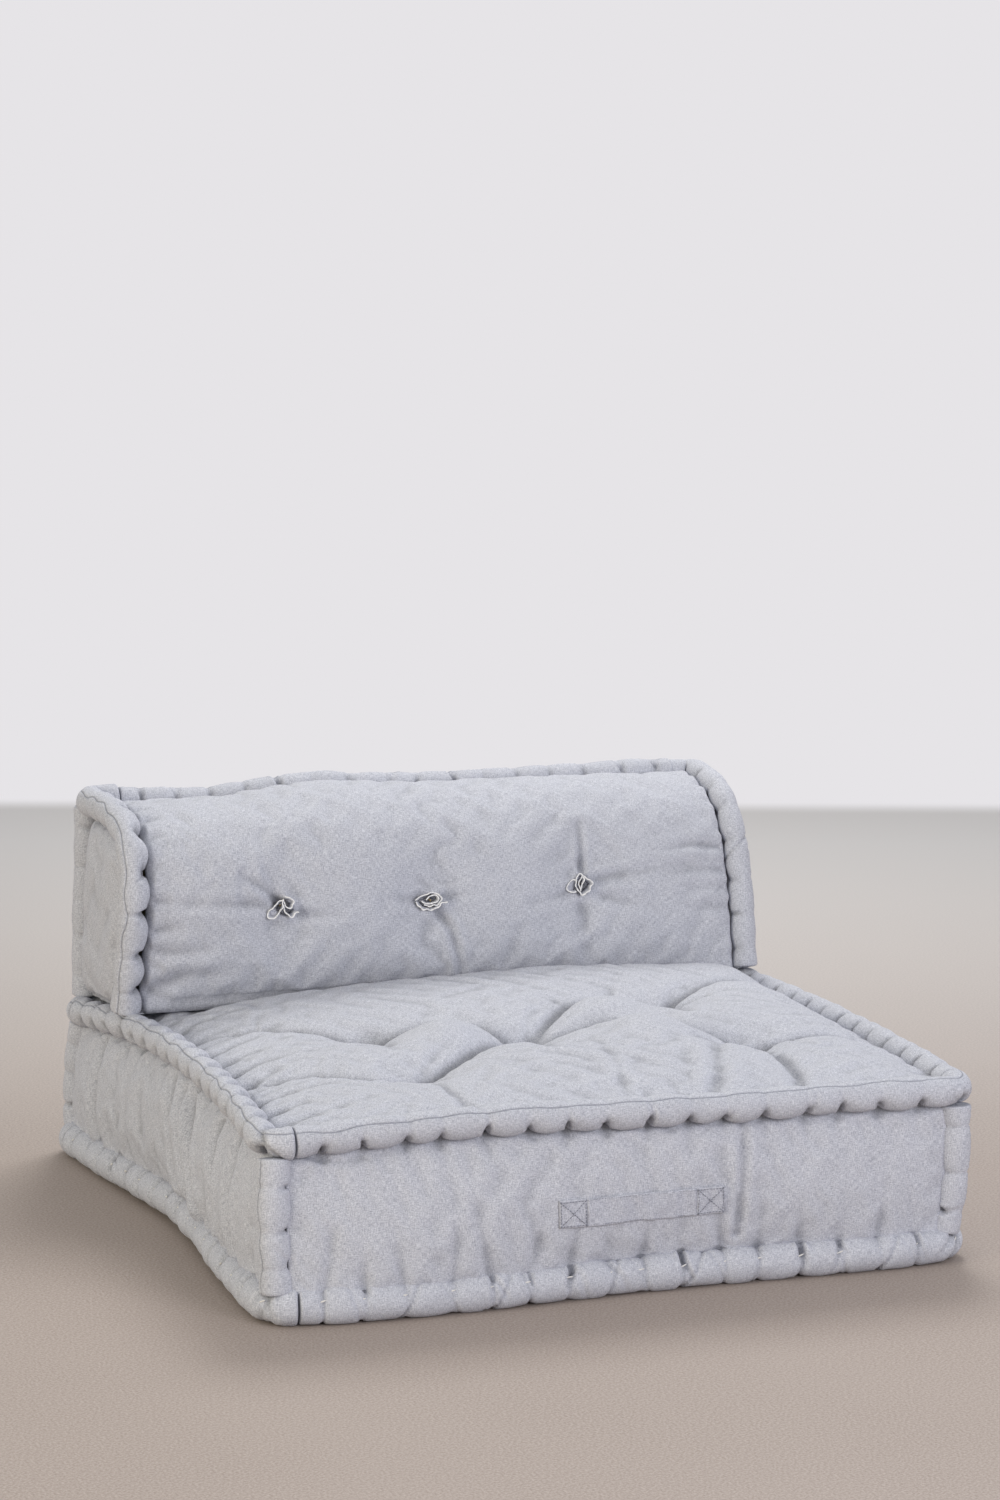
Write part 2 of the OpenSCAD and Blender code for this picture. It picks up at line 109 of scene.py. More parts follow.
def add(tree, kind, inputs=None, **settings):
    node = tree.nodes.new(kind)
    for name, value in settings.items():
        setattr(node, name, value)
    for name, value in (inputs or {}).items():
        if isinstance(value, bpy.types.Node):
            value = next(output for output in value.outputs if output.enabled)
        if isinstance(value, bpy.types.NodeSocket):
            tree.links.new(value, node.inputs[name])
        else:
            node.inputs[name].default_value = linear(value) if isinstance(value, str) else value
    return node


def new_material(name):
    material = bpy.data.materials.new(name)
    material.use_nodes = True
    material.node_tree.nodes.clear()
    return material, material.node_tree

# %% [markdown]
# The studio: a pale floor that ends at the line where the photograph's floor meets its wall, a white world behind it,
# and broad soft lamps. The line runs square to the camera's heading, so the floor is a rectangle turned by the same
# angle. Over its last strip the floor takes the wall's colour, because that meeting is out of focus. The floor and
# the world take their look for the camera from Is Camera Ray, so the light that reaches the object doesn't change.

# %% Floor
WALL_AWAY = 3.37      # from the seat's middle to the wall, along the camera's heading
FLOOR_SOFT = 0.16     # width of the strip that fades into the wall
WALL_COLOUR = "#E6E4E7"
heading = Vector((math.sin(yaw), math.cos(yaw), 0))

floor_material, tree = new_material("sealed_concrete_floor")
place = add(tree, "ShaderNodeTexCoord").outputs["Object"]
grain = add(tree, "ShaderNodeTexNoise", {"Vector": place, "Scale": 1 / 0.0035, "Detail": 6.0, "Roughness": 0.7})
gritty = add(tree, "ShaderNodeMapRange", {"Value": grain, "From Min": 0.35, "From Max": 0.65})
cloud = add(tree, "ShaderNodeTexNoise", {"Vector": place, "Scale": 1 / 0.45, "Detail": 3.0})
along = add(tree, "ShaderNodeVectorMath", {0: place, 1: heading}, operation="DOT_PRODUCT")
far = add(tree, "ShaderNodeMapRange", {"Value": along, "From Min": 0.2, "From Max": WALL_AWAY - 0.5})
# The floor is painted paler from just behind the seat towards the wall, as painted light over the concrete's own
# speckle
tint = "#84766C"
for share, colour in ((cloud, "#988B82"), (gritty, "#B4A79E"), (far, "#C0BDBB")):
    tint = add(tree, "ShaderNodeMix", {0: share, 6: tint, 7: colour}, data_type="RGBA")
bump = add(tree, "ShaderNodeBump", {"Height": grain, "Strength": 0.2, "Distance": 0.0006})
stone = add(tree, "ShaderNodeBsdfPrincipled", {"Base Color": tint, "Roughness": 0.7, "Normal": bump})
fade = add(tree, "ShaderNodeMapRange", {"Value": along, "From Min": WALL_AWAY - FLOOR_SOFT, "From Max": WALL_AWAY},
           interpolation_type="SMOOTHSTEP")
seen = add(tree, "ShaderNodeLightPath").outputs["Is Camera Ray"]
shown = add(tree, "ShaderNodeMath", {0: fade, 1: seen}, operation="MULTIPLY")
haze = add(tree, "ShaderNodeEmission", {"Color": WALL_COLOUR, "Strength": 1.0})
both = add(tree, "ShaderNodeMixShader", {0: shown, 1: stone, 2: haze})
add(tree, "ShaderNodeOutputMaterial", {"Surface": both})

sheet = bpy.data.meshes.new("studio_floor")
corners = [heading * depth + level * across for depth, across in ((-9, -7), (-9, 7), (WALL_AWAY, 7), (WALL_AWAY, -7))]
sheet.from_pydata([tuple(c) for c in corners], [], [(0, 1, 2, 3)])
sheet.materials.append(floor_material)
new_object("studio_floor", sheet)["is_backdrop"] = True
print("floor corners", [tuple(round(v, 2) for v in c) for c in corners])

# %% World and lamps
world = bpy.data.worlds.new("studio")
scene.world = world
world.use_nodes = True
tree = world.node_tree
tree.nodes.clear()
rays = add(tree, "ShaderNodeLightPath").outputs
seen = rays["Is Camera Ray"]
for ray in ("Is Glossy Ray", "Is Transmission Ray"):
    seen = add(tree, "ShaderNodeMath", {0: seen, 1: rays[ray]}, operation="MAXIMUM")
glow = add(tree, "ShaderNodeBackground", {"Color": "#F4F6FA", "Strength": 0.60})
wall = add(tree, "ShaderNodeBackground", {"Color": WALL_COLOUR, "Strength": 1.0})
both = add(tree, "ShaderNodeMixShader", {0: seen, 1: glow, 2: wall})
add(tree, "ShaderNodeOutputWorld", {"Surface": both})

# Each lamp: its place, the point it faces, its width in metres, its power in watts and its colour
lamps = {
    "key_softbox": ((0.9, 1.9, 3.0), (0, 0, 0.2), 1.5, 71, "#FFFEFC"),
    "left_window": ((-4.2, -1.6, 1.4), (0, 0, 0.2), 2.4, 76, "#FFF6DC"),
    "front_fill": ((1.2, -4.2, 1.75), (0, 0.1, 0.45), 1.7, 80, "#F6F6FF"),
}
for name, (at, aim, size, power, colour) in lamps.items():
    lamp = bpy.data.lights.new(name, "AREA")
    lamp.size, lamp.energy, lamp.color = size, power, linear(colour)[:3]
    holder = new_object(name, lamp)
    holder.location = at
    holder.rotation_euler = (Vector(aim) - Vector(at)).to_track_quat("-Z", "Y").to_euler()
print("lamps", list(lamps))

# %% [markdown]
# The cover is a melange cotton canvas: plain-woven from yarn whose fibres were dyed in several blue-greys before
# spinning. Up close each thread runs from light to dark over about a centimetre. From a few metres away that reads
# as a fine speckle with faint streaks along warp and weft. Two noises stretched along the two thread directions make
# the streaks and a rounder one makes the flecks. The pattern follows a UV map in metres, so it runs along the cloth.
# The threads are 0.5 mm apart on the real cloth, too fine to show here, so they are drawn about 1 mm wide.

# %% Cotton canvas
THREAD, STREAK, FLECK = 0.0010, 0.007, 0.0015     # the widths and lengths of the pattern's marks, in metres
TONE_MIDDLE, TONE_SPREAD = 1.65, 0.36             # what the summed noises range over
# The seam line's colour: the grey of its thread together with painted shade of its groove
SEAM_GREY = "#7C7F89"
PAINTED_SHADE = 0.48           # painted shade: the bottoms of folds, pits and the cusps at stitches are darker by up to this share


def cotton_canvas(name, light, dark):
    material, tree = new_material(name)
    cloth = add(tree, "ShaderNodeUVMap", uv_map="cloth")
    weave = 0.0
    for scale in ((1 / THREAD, 1 / STREAK, 1), (1 / STREAK, 1 / THREAD, 1)):
        laid = add(tree, "ShaderNodeMapping", {"Vector": cloth, "Scale": scale})
        yarn = add(tree, "ShaderNodeTexNoise", {"Vector": laid, "Scale": 1.0, "Detail": 2.0})
        weave = add(tree, "ShaderNodeMath", {0: yarn, 1: weave}, operation="ADD")
    flecks = add(tree, "ShaderNodeTexNoise", {"Vector": cloth, "Scale": 1 / FLECK, "Detail": 3.0, "Roughness": 0.6})
    mixed = add(tree, "ShaderNodeMath", {0: flecks, 1: 1.3, 2: weave}, operation="MULTIPLY_ADD")
    tone = add(tree, "ShaderNodeMapRange", {
        "Value": mixed, "From Min": TONE_MIDDLE - TONE_SPREAD, "From Max": TONE_MIDDLE + TONE_SPREAD})
    canvas_and_shade = add(tree, "ShaderNodeMix", {0: tone, 6: dark, 7: light}, data_type="RGBA")
    cloudy = add(tree, "ShaderNodeTexNoise", {"Vector": cloth, "Scale": 1 / 0.05, "Detail": 2.0})
    patch = add(tree, "ShaderNodeMapRange", {
        "Value": cloudy, "From Min": 0.3, "From Max": 0.7, "To Min": 0.98, "To Max": 1.02})
    # Painted shade: the hollow mask darkens the cloth where it lies sunk in folds, pits and creases
    shade_mask = add(tree, "ShaderNodeAttribute", attribute_name="hollow").outputs["Fac"]
    unshaded_share = add(tree, "ShaderNodeMath", {0: shade_mask, 1: -PAINTED_SHADE, 2: 1.0}, operation="MULTIPLY_ADD")
    for share in (patch, unshaded_share):
        canvas_and_shade = add(tree, "ShaderNodeVectorMath", {0: canvas_and_shade, "Scale": share}, operation="SCALE")
    # The seam line: the grey of its thread together with painted shade of its groove
    line = add(tree, "ShaderNodeAttribute", attribute_name="seam").outputs["Fac"]
    sewn = add(tree, "ShaderNodeMix", {0: line, 6: canvas_and_shade, 7: SEAM_GREY}, data_type="RGBA")
    rough = add(tree, "ShaderNodeMapRange", {"Value": tone, "To Min": 0.95, "To Max": 0.82})
    bump = add(tree, "ShaderNodeBump", {"Height": mixed, "Strength": 0.6, "Distance": 0.0007})
    matt = add(tree, "ShaderNodeBsdfPrincipled", {
        "Base Color": sewn, "Roughness": rough, "Normal": bump, "IOR": 1.46, "Specular IOR Level": 0.2,
        "Sheen Weight": 0.03, "Sheen Roughness": 0.5})
    add(tree, "ShaderNodeOutputMaterial", {"Surface": matt})
    return material


# Matt cloth with a soft bloom at grazing angles, never a highlight
cover_canvas = cotton_canvas("melange_cotton_canvas", "#D9DAE0", "#9B9DA7")
# The same cloth, drawn tight over stuffed rolls, where the speckle is a little plainer
roll_canvas = cotton_canvas("melange_canvas_over_rolls", "#D9DAE0", "#9C9EA8")
# The strap is a strip of that cloth folded double and pressed, and slightly darker all over
strap_canvas = cotton_canvas("folded_canvas_strip", "#D4D5DC", "#9799A4")
print("canvas", [m.name for m in (cover_canvas, roll_canvas, strap_canvas)])

# %% [markdown]
# The small parts: white waxed thread for the hand stitches, grey polyester thread for the machine seams, jute twine
# through the tufts, canvas ribbon with pale raw edges, cut foam and carded wadding. All are short-fibred or spongy
# and matt, so each is a rough shader with its own grain on Object coordinates.

# %% Small materials
def fibrous(name, light, dark, grain_size, depth, roughness=0.9, sheen=0.1):
    material, tree = new_material(name)
    place = add(tree, "ShaderNodeTexCoord").outputs["Object"]
    fine = add(tree, "ShaderNodeTexNoise", {
        "Vector": place, "Scale": 1 / grain_size, "Detail": 4.0, "Roughness": 0.65})
    tone = add(tree, "ShaderNodeMapRange", {"Value": fine, "From Min": 0.35, "From Max": 0.65})
    colour = add(tree, "ShaderNodeMix", {0: tone, 6: dark, 7: light}, data_type="RGBA")
    bump = add(tree, "ShaderNodeBump", {"Height": fine, "Strength": 0.6, "Distance": depth})
    matt = add(tree, "ShaderNodeBsdfPrincipled", {
        "Base Color": colour, "Roughness": roughness, "Normal": bump, "Specular IOR Level": 0.25,
        "Sheen Weight": sheen})
    add(tree, "ShaderNodeOutputMaterial", {"Surface": matt})
    return material


# Bleached linen thread drawn through beeswax: white with a faint warm shadow between its plies
white_thread = fibrous("waxed_linen_thread", "#F1EFEA", "#CFCBC3", grain_size=0.0006, depth=0.0002, roughness=0.6)
# Spun polyester sewing thread, a shade under the cloth, which sinks into it as a fine dotted line
grey_thread = fibrous("spun_polyester_thread", "#8B8D98", "#6E707B", grain_size=0.0006, depth=0.0002, roughness=0.7)
# Jute twine: hairy and straw-coloured, mostly hidden in the filling
jute_twine = fibrous("jute_twine", "#C9B791", "#8F7B58", grain_size=0.0009, depth=0.0004)
# Slabstock polyurethane foam: open cells about a millimetre wide
slab_foam = fibrous("slabstock_foam", "#E7DDBB", "#C9BC92", grain_size=0.0014, depth=0.0008, roughness=0.95)
# Carded cotton: a soft off-white fleece with no direction
carded_cotton = fibrous("carded_cotton_wadding", "#F0EDE4", "#DAD5C8", grain_size=0.006, depth=0.0015, roughness=1.0,
                        sheen=0.3)
# Canvas ribbon cut across its threads: blue-grey faces and a paler fluffy line where it is cut
ribbon_canvas, tree = new_material("raw_edged_canvas_ribbon")
place = add(tree, "ShaderNodeTexCoord").outputs["Object"]
fine = add(tree, "ShaderNodeTexNoise", {"Vector": place, "Scale": 1 / THREAD, "Detail": 3.0})
colour = add(tree, "ShaderNodeMix", {0: fine, 6: "#9C9EA9", 7: "#C6C8D0"}, data_type="RGBA")
raw = add(tree, "ShaderNodeAttribute", attribute_name="raw_edge").outputs["Fac"]
frayed = add(tree, "ShaderNodeMix", {0: raw, 6: colour, 7: "#ECEBEA"}, data_type="RGBA")
bump = add(tree, "ShaderNodeBump", {"Height": fine, "Strength": 0.7, "Distance": 0.0004})
matt = add(tree, "ShaderNodeBsdfPrincipled", {
    "Base Color": frayed, "Roughness": 0.9, "Normal": bump, "Specular IOR Level": 0.25, "Sheen Weight": 0.15})
add(tree, "ShaderNodeOutputMaterial", {"Surface": matt})
print("small materials ready")

# %% [markdown]
# Most shapes here are either tubes along a path or cloth on a grid. These helpers draw a smooth line through a few
# measured points, make gentle seeded waves, fill a grid between four edge lines, and turn arrays into meshes.

# %% Lines and waves
def even(count):
    return np.linspace(0, 1, count)


def through(knots, values, at):
    """Values on a smooth line through the given knots, at the places asked for."""
    knots, values, at = np.asarray(knots, float), np.asarray(values, float), np.asarray(at, float)
    slope = np.gradient(values, knots, axis=0)
    i = np.clip(np.searchsorted(knots, at) - 1, 0, len(knots) - 2)
    gap = knots[i + 1] - knots[i]
    t = np.clip((at - knots[i]) / gap, 0, 1)
    if values.ndim > 1:
        t, gap = t[..., None], gap[..., None]
    return ((2 * t**3 - 3 * t**2 + 1) * values[i] + (t**3 - 2 * t**2 + t) * gap * slope[i]
            + (3 * t**2 - 2 * t**3) * values[i + 1] + (t**3 - t**2) * gap * slope[i + 1])


def lengths(points):
    return np.concatenate([[0], np.cumsum(np.linalg.norm(np.diff(points, axis=0), axis=1))])


def evenly(points, step):
    """The same line with points a set distance apart."""
    dense = through(np.arange(len(points)), points, np.linspace(0, len(points) - 1, len(points) * 12))
    run = lengths(dense)
    at = np.linspace(0, run[-1], max(3, round(run[-1] / step) + 1))
    return np.stack([np.interp(at, run, column) for column in dense.T], axis=1)


def unit(vectors):
    return vectors / np.linalg.norm(vectors, axis=-1, keepdims=True)


def smooth(a, b, x):
    t = np.clip((x - a) / (b - a), 0, 1)
    return t * t * (3 - 2 * t)


def bell(x, width):
    return np.exp(-(x / width) ** 2)


def least(*values):
    """The smallest of several arrays, place by place."""
    return np.minimum.reduce(np.broadcast_arrays(*values))


def waves(x, seed, size, count=5):
    """A gentle seeded wave of height about 1, whose waves are about size long."""
    random = np.random.default_rng(seed)
    total = np.zeros_like(x, dtype=float)
    for _ in range(count):
        total += np.sin(2 * np.pi * x / (size * random.uniform(0.6, 1.7)) + random.uniform(0, 6.28))
    return total / math.sqrt(count)


def ripples(x, y, seed, size, count=9):
    """The same over a surface, with no direction."""
    random = np.random.default_rng(seed)
    total = np.zeros(np.broadcast(x, y).shape)
    for _ in range(count):
        turn, wave = random.uniform(0, np.pi), size * random.uniform(0.7, 1.5)
        total += np.sin(2 * np.pi * (x * np.cos(turn) + y * np.sin(turn)) / wave + random.uniform(0, 6.28))
    return total / math.sqrt(count)

# %% Meshes from arrays
def mesh_object(name, points, faces, uvs, material, **attributes):
    """A mesh object at the origin. Faces are equal-sided lists of corners, and uvs holds one pair per corner."""
    mesh = bpy.data.meshes.new(name)
    mesh.vertices.add(len(points))
    mesh.vertices.foreach_set("co", np.asarray(points, np.float32).ravel())
    corners = np.concatenate([np.asarray(f).ravel() for f in faces]).astype(np.int32)
    sizes = np.concatenate([np.full(len(f), np.asarray(f).shape[1]) for f in faces])
    mesh.loops.add(len(corners))
    mesh.loops.foreach_set("vertex_index", corners)
    mesh.polygons.add(len(sizes))
    mesh.polygons.foreach_set("loop_start", np.concatenate([[0], np.cumsum(sizes)[:-1]]).astype(np.int32))
    mesh.update(calc_edges=True)
    if uvs is not None:
        flat = np.concatenate([np.asarray(u).reshape(-1, 2) for u in uvs]).astype(np.float32).ravel()
        mesh.uv_layers.new(name="cloth").data.foreach_set("uv", flat)
    for key, values in attributes.items():
        mesh.attributes.new(key, "FLOAT", "POINT").data.foreach_set("value", np.asarray(values, np.float32).ravel())
    mesh.polygons.foreach_set("use_smooth", np.full(len(sizes), True))
    mesh.materials.append(material)
    return new_object(name, mesh)


def grid_faces(rows, columns, wrap=False, start=0):
    """Quads of a grid, as corner numbers and as (row, column) places for the UV map."""
    r, c = np.meshgrid(np.arange(rows - 1), np.arange(columns if wrap else columns - 1), indexing="ij")
    r, c = r.ravel(), c.ravel()
    places = np.stack([np.stack(corner, 1) for corner in ((r, c), (r, c + 1), (r + 1, c + 1), (r + 1, c))], 1)
    return start + places[..., 0] * columns + places[..., 1] % columns, places


def shell(name, outer, inner, material, place=None, **attributes):
    """A closed piece between two grids of the same size, where outer faces away from it."""
    rows, columns = outer.shape[:2]
    count = rows * columns
    quads, places = grid_faces(rows, columns)
    rim = np.concatenate([np.arange(columns), np.arange(1, rows) * columns + columns - 1,
                          np.arange(columns - 2, -1, -1) + (rows - 1) * columns, np.arange(rows - 2, 0, -1) * columns])
    after = np.roll(rim, -1)
    hem = np.stack([rim, rim + count, after + count, after], axis=1)
    uvs = None
    if place is not None:
        face_uv = place[places[..., 0], places[..., 1]]
        uvs = [face_uv, face_uv[:, ::-1], place.reshape(-1, 2)[hem % count]]
    return mesh_object(name, np.concatenate([outer.reshape(-1, 3), inner.reshape(-1, 3)]),
                       [quads, quads[:, ::-1] + count, hem], uvs, material, **attributes)


def surface_normals(grid):
    return unit(np.cross(np.gradient(grid, axis=1), np.gradient(grid, axis=0)))


def crowded(count):
    """Shares from 0 to 1 that lie closer together near both ends, where the cloth turns into its seams."""
    return even(count) - 0.35 * np.sin(2 * np.pi * even(count)) / (2 * np.pi)


def between(low, high, left, right, up_shares=None, cross_shares=None):
    """A grid that fills the space between four edge lines."""
    v = (even(len(left)) if up_shares is None else up_shares)[:, None, None]
    u = (even(len(low)) if cross_shares is None else cross_shares)[None, :, None]
    ruled = (1 - v) * low[None] + v * high[None] + (1 - u) * left[:, None] + u * right[:, None]
    return ruled - ((1 - u) * (1 - v) * low[0] + u * (1 - v) * low[-1] + (1 - u) * v * high[0] + u * v * high[-1])


def refined(grid, rows, columns):
    """The same surface on a finer grid."""
    for count in (rows, columns):
        old = grid.shape[0]
        grid = through(np.arange(old), grid.reshape(old, -1), np.linspace(0, old - 1, count))
        grid = grid.reshape(count, -1, 3).transpose(1, 0, 2)
    return grid


def climbed(grid):
    """How far each place lies up its column, measured along the cloth."""
    steps = np.cumsum(np.linalg.norm(np.diff(grid, axis=0), axis=2), axis=0)
    return np.concatenate([np.zeros((1, grid.shape[1])), steps])


def metric_uv(grid):
    """Distances along the cloth, in metres, measured on the grid's middle lines."""
    u, v = lengths(grid[grid.shape[0] // 2]), lengths(grid[:, grid.shape[1] // 2])
    return np.stack(np.broadcast_arrays(u[None, :], v[:, None]), axis=-1)

# %% [markdown]
# The rolled edges are what makes this a hand-made mattress. Each is a tube of the cover itself, stuffed hard and
# stitched through every 55 mm or so, so that it bulges between its stitches and meets the panel in a row of
# scallops, with creases that run up from the stitches. A plain tube with a bump map would keep a straight outline,
# so the tube is a swept mesh: a ring every 3 mm, with the pull of each stitch and each crease taken off its radius.
# The rings have extra points near the machine seam, which gets a real groove one millimetre wide.

# %% A rolled edge
RING_STEP = 0.003
STITCH_PITCH = 0.055
END_ROUNDING, CAP_RINGS = 0.0042, 4


def section_places(radius):
    """Places round the tube from its seam, in metres, close together at the seam."""
    near, half = [0.0007, 0.0014, 0.0024, 0.0040], math.pi * radius
    rest = np.linspace(near[-1], half, max(4, round((half - near[-1]) / 0.0034)) + 1)[1:]
    one_side = np.concatenate([near, rest])
    return np.concatenate([-one_side[::-1], [0], one_side[:-1]])


def stitch_marks(length, seed):
    random = np.random.default_rng(seed)
    count = max(1, round(length / STITCH_PITCH))
    return (np.arange(count) + 0.5) * length / count + random.uniform(-0.09, 0.09, count) * STITCH_PITCH


def rolled_edge(name, path, outward, radius, seed, stitches=None, pull=(0.0048, 0.0048), front_pull=0.0012, creases=2.0,
                crease_depth=0.0026, seam_turn=0.0, uneven=0.022, plump=0.5, joints=(), floor_at=-1.0):
    """A closed roll along an even path.

    At each stitch its two sides are drawn in by pull and its face by front_pull, and about as many creases start
    there as creases says. plump is 0.5 for round bulges with sharp cusps, and more for wider hollows. seam_turn is
    the angle from the face to the machine seam, and uneven the share by which the thickness varies. joints are
    grooves across the roll: place, slant and depth of each. No point lies below floor_at.
    """
    random = np.random.default_rng(seed)
    run = lengths(path)
    along = unit(np.gradient(path, axis=0))
    outward = unit(outward - (outward * along).sum(1, keepdims=True) * along)
    side = np.cross(along, outward)
    stitches = stitch_marks(run[-1], seed) if stitches is None else stitches
    around, s = section_places(radius)[None], run[:, None]
    turn = np.broadcast_to(np.asarray(seam_turn, float), run.shape)[:, None] + 0.09 * waves(s, seed + 5, 0.07)
    angle = (turn + around / radius + np.pi) % (2 * np.pi) - np.pi
    size = radius * (1 + uneven * waves(s, seed + 1, 0.11) + 0.55 * uneven * ripples(s, around, seed + 2, 0.035))

    # Each stitch draws both sides of the roll in to a cusp, and a little of its face with them
    nearest = np.abs(s - stitches[None]).min(axis=1, keepdims=True)
    toward = np.clip(1 - nearest / (STITCH_PITCH / 2), 0, 0.985)
    cusp = 1 - (1 - toward**2) ** plump
    size = size - cusp * (np.where(angle > 0, *pull) * smooth(0.5, 1.6, np.abs(angle)) + front_pull)
    # Creases run up from a stitch across the face: hand is the side, and begin and end are angles from the face
    for at in stitches:
        for _ in range(random.poisson(creases)):
            hand = 1 if random.random() < pull[0] / (pull[0] + pull[1]) else -1
            begin, end = hand * random.uniform(1.7, 2.3), hand * random.uniform(-0.5, 1.0)
            slant, depth = random.normal(0, 0.011), crease_depth * random.uniform(0.35, 1.2)
            width = random.uniform(0.0022, 0.0038)
            share = (angle - begin) / (end - begin)
            line = at + slant * share + 0.0015 * np.sin(5 * share + at * 90)
            away = np.abs(s - line) / math.sqrt(1 + (slant / ((end - begin) * radius)) ** 2)
            fade = smooth(-0.25, 0.05, share) * np.clip(1 - share, 0, 1) ** 0.8
            size = size - depth * fade * (bell(away, width) - 0.3 * bell(away - 2.1 * width, width))

    # Then the grooves across it, and the machine seam: a groove 1 mm wide with fine puckers on one side
    for at, slant, depth in joints:
        size = size - depth * bell(s - at - slant * angle, 0.0022)
    puckers = bell(around - 0.004, 0.004) * np.sin(2 * np.pi * s / 0.0085 + 2 * waves(s, seed + 7, 0.04))
    size = size - 0.0011 * bell(around, 0.0010) + 0.00035 * puckers
    spokes = np.cos(angle)[..., None] * outward[:, None] + np.sin(angle)[..., None] * side[:, None]
    rings = path[:, None] + size[..., None] * spokes

    # Both ends are rounded off over a few smaller rings, and each closes in a point
    step = np.arange(1, CAP_RINGS + 1)
    tilt = step[:, None, None] / CAP_RINGS * math.pi / 2
    shrink = 1 - END_ROUNDING * (1 - np.cos(tilt)) / radius
    first, last = (path[end] + (rings[end] - path[end]) * shrink + way * along[end] * END_ROUNDING * np.sin(tilt)
                   for end, way in ((0, -1), (-1, 1)))
    rings = np.concatenate([first[::-1], rings, last])
    reach = along[[0, -1]] * (END_ROUNDING + 0.002)
    poles = path[[0, -1]] + reach * [[-1], [1]]
    for part in (rings, poles):
        part[..., 2] = np.maximum(part[..., 2], floor_at)
    # The seam line for the material, which darkens it: its thread's grey and painted shade of its groove. The outermost
    # two rings at each end are darkened all round.
    seam = np.broadcast_to(0.75 * bell(around, 0.0011), rings.shape[:2]).copy()
    seam[[0, 1, -2, -1]] = 0.55
    # Painted shade: the cloth is darkened where the roll is drawn in, at its cusps and creases
    painted_crease_shade = np.pad(smooth(0.0015, 0.010, radius - size) * 0.8, ((CAP_RINGS, CAP_RINGS), (0, 0)), mode="edge")

    # The canvas needs distances along and round the roll, in metres
    rows, columns = rings.shape[:2]
    distance = np.concatenate([run[0] - step[::-1] * 0.002, run, run[-1] + step * 0.002])
    around = around[0]
    across = np.append(around, around[0] + 2 * (around[-1] - around[0]) / (columns - 1) * columns / 2)
    quads, places = grid_faces(rows, columns, wrap=True)
    faces, uvs = [quads], [np.stack([distance[places[..., 0]], across[places[..., 1]]], axis=-1)]
    c = np.arange(columns)
    for number, row in enumerate((0, rows - 1)):
        ring = row * columns
        fan = np.stack([ring + c, ring + (c + 1) % columns, np.full(columns, rows * columns + number)], axis=1)
        faces.append(fan if number else fan[:, ::-1])
        uvs.append(np.array([distance[row], 0.0]) + rings[row][fan[:, [0, 1, 0]] - ring][..., :2])
    return mesh_object(name, np.concatenate([rings.reshape(-1, 3), poles]), faces, uvs, roll_canvas,
                       seam=np.append(seam, [0, 0]), hollow=np.append(painted_crease_shade, [0, 0]))

# %% [markdown]
# The seat isn't square any more: the filling has pushed its bottom edge forward at the front left corner, the left
# side is drawn in at the middle and lifted, and the rear left corner sags under the back cushion. Each side of the
# top and the bottom gets a short list of how far its roll stands out from the plain rectangle and how high it runs,
# read off at a few places. Panels and rolls then share these lines, so no gap opens between them.

# %% Lines of the seat's rolls
HALF = 0.479          # from the middle of the seat to a top roll's centre line
LOW_HALF = 0.475      # the same for the bottom rolls
TOP_R, LOW_R, SIDE_R, BACK_R = 0.0215, 0.0250, 0.0220, 0.0220
CORNER = 0.026        # how tightly a roll turns the corner
SIDES = {"front": (1, -1), "right": (0, 1), "rear": (1, 1), "left": (0, -1)}     # the axis a side faces, and its sign
knots = [-0.479, -0.35, -0.2, 0.0, 0.2, 0.35, 0.479]

# Each side: how far out and how high its roll's centre lies at the knots
top_lines = {
    "front": ([0.000, 0.000, 0.003, 0.005, 0.004, 0.004, 0.006], [0.233, 0.238, 0.243, 0.240, 0.237, 0.237, 0.235]),
    "right": ([0.010, 0.010, 0.012, 0.010, 0.005, 0.000, 0.000], [0.235, 0.239, 0.240, 0.239, 0.234, 0.230, 0.227]),
    "rear": ([0.0] * 7, [0.214, 0.219, 0.223, 0.226, 0.226, 0.226, 0.227]),
    "left": ([0.002, -0.008, -0.018, -0.021, -0.013, 0.001, 0.014], [0.233, 0.239, 0.242, 0.243, 0.237, 0.226, 0.214]),
}
low_lines = {
    "front": ([0.024, 0.038, 0.034, 0.018, 0.014, 0.016, 0.006], [0.024] * 7),
    "right": ([0.002, 0.004, 0.008, 0.008, 0.006, 0.004, 0.002], [0.024] * 7),
    "rear": ([0.010, 0.008, 0.006, 0.004, 0.004, 0.004, 0.002], [0.024] * 7),
    "left": ([0.006, 0.006, -0.004, -0.014, 0.002, 0.018, 0.027], [0.024, 0.026, 0.030, 0.031, 0.028, 0.025, 0.024]),
}


def side_line(lines, side, along, half):
    """How far out and how high a side's roll lies."""
    out, height = lines[side]
    along = np.clip(along, knots[0], knots[-1])
    return half + through(knots, out, along), through(knots, height, along)


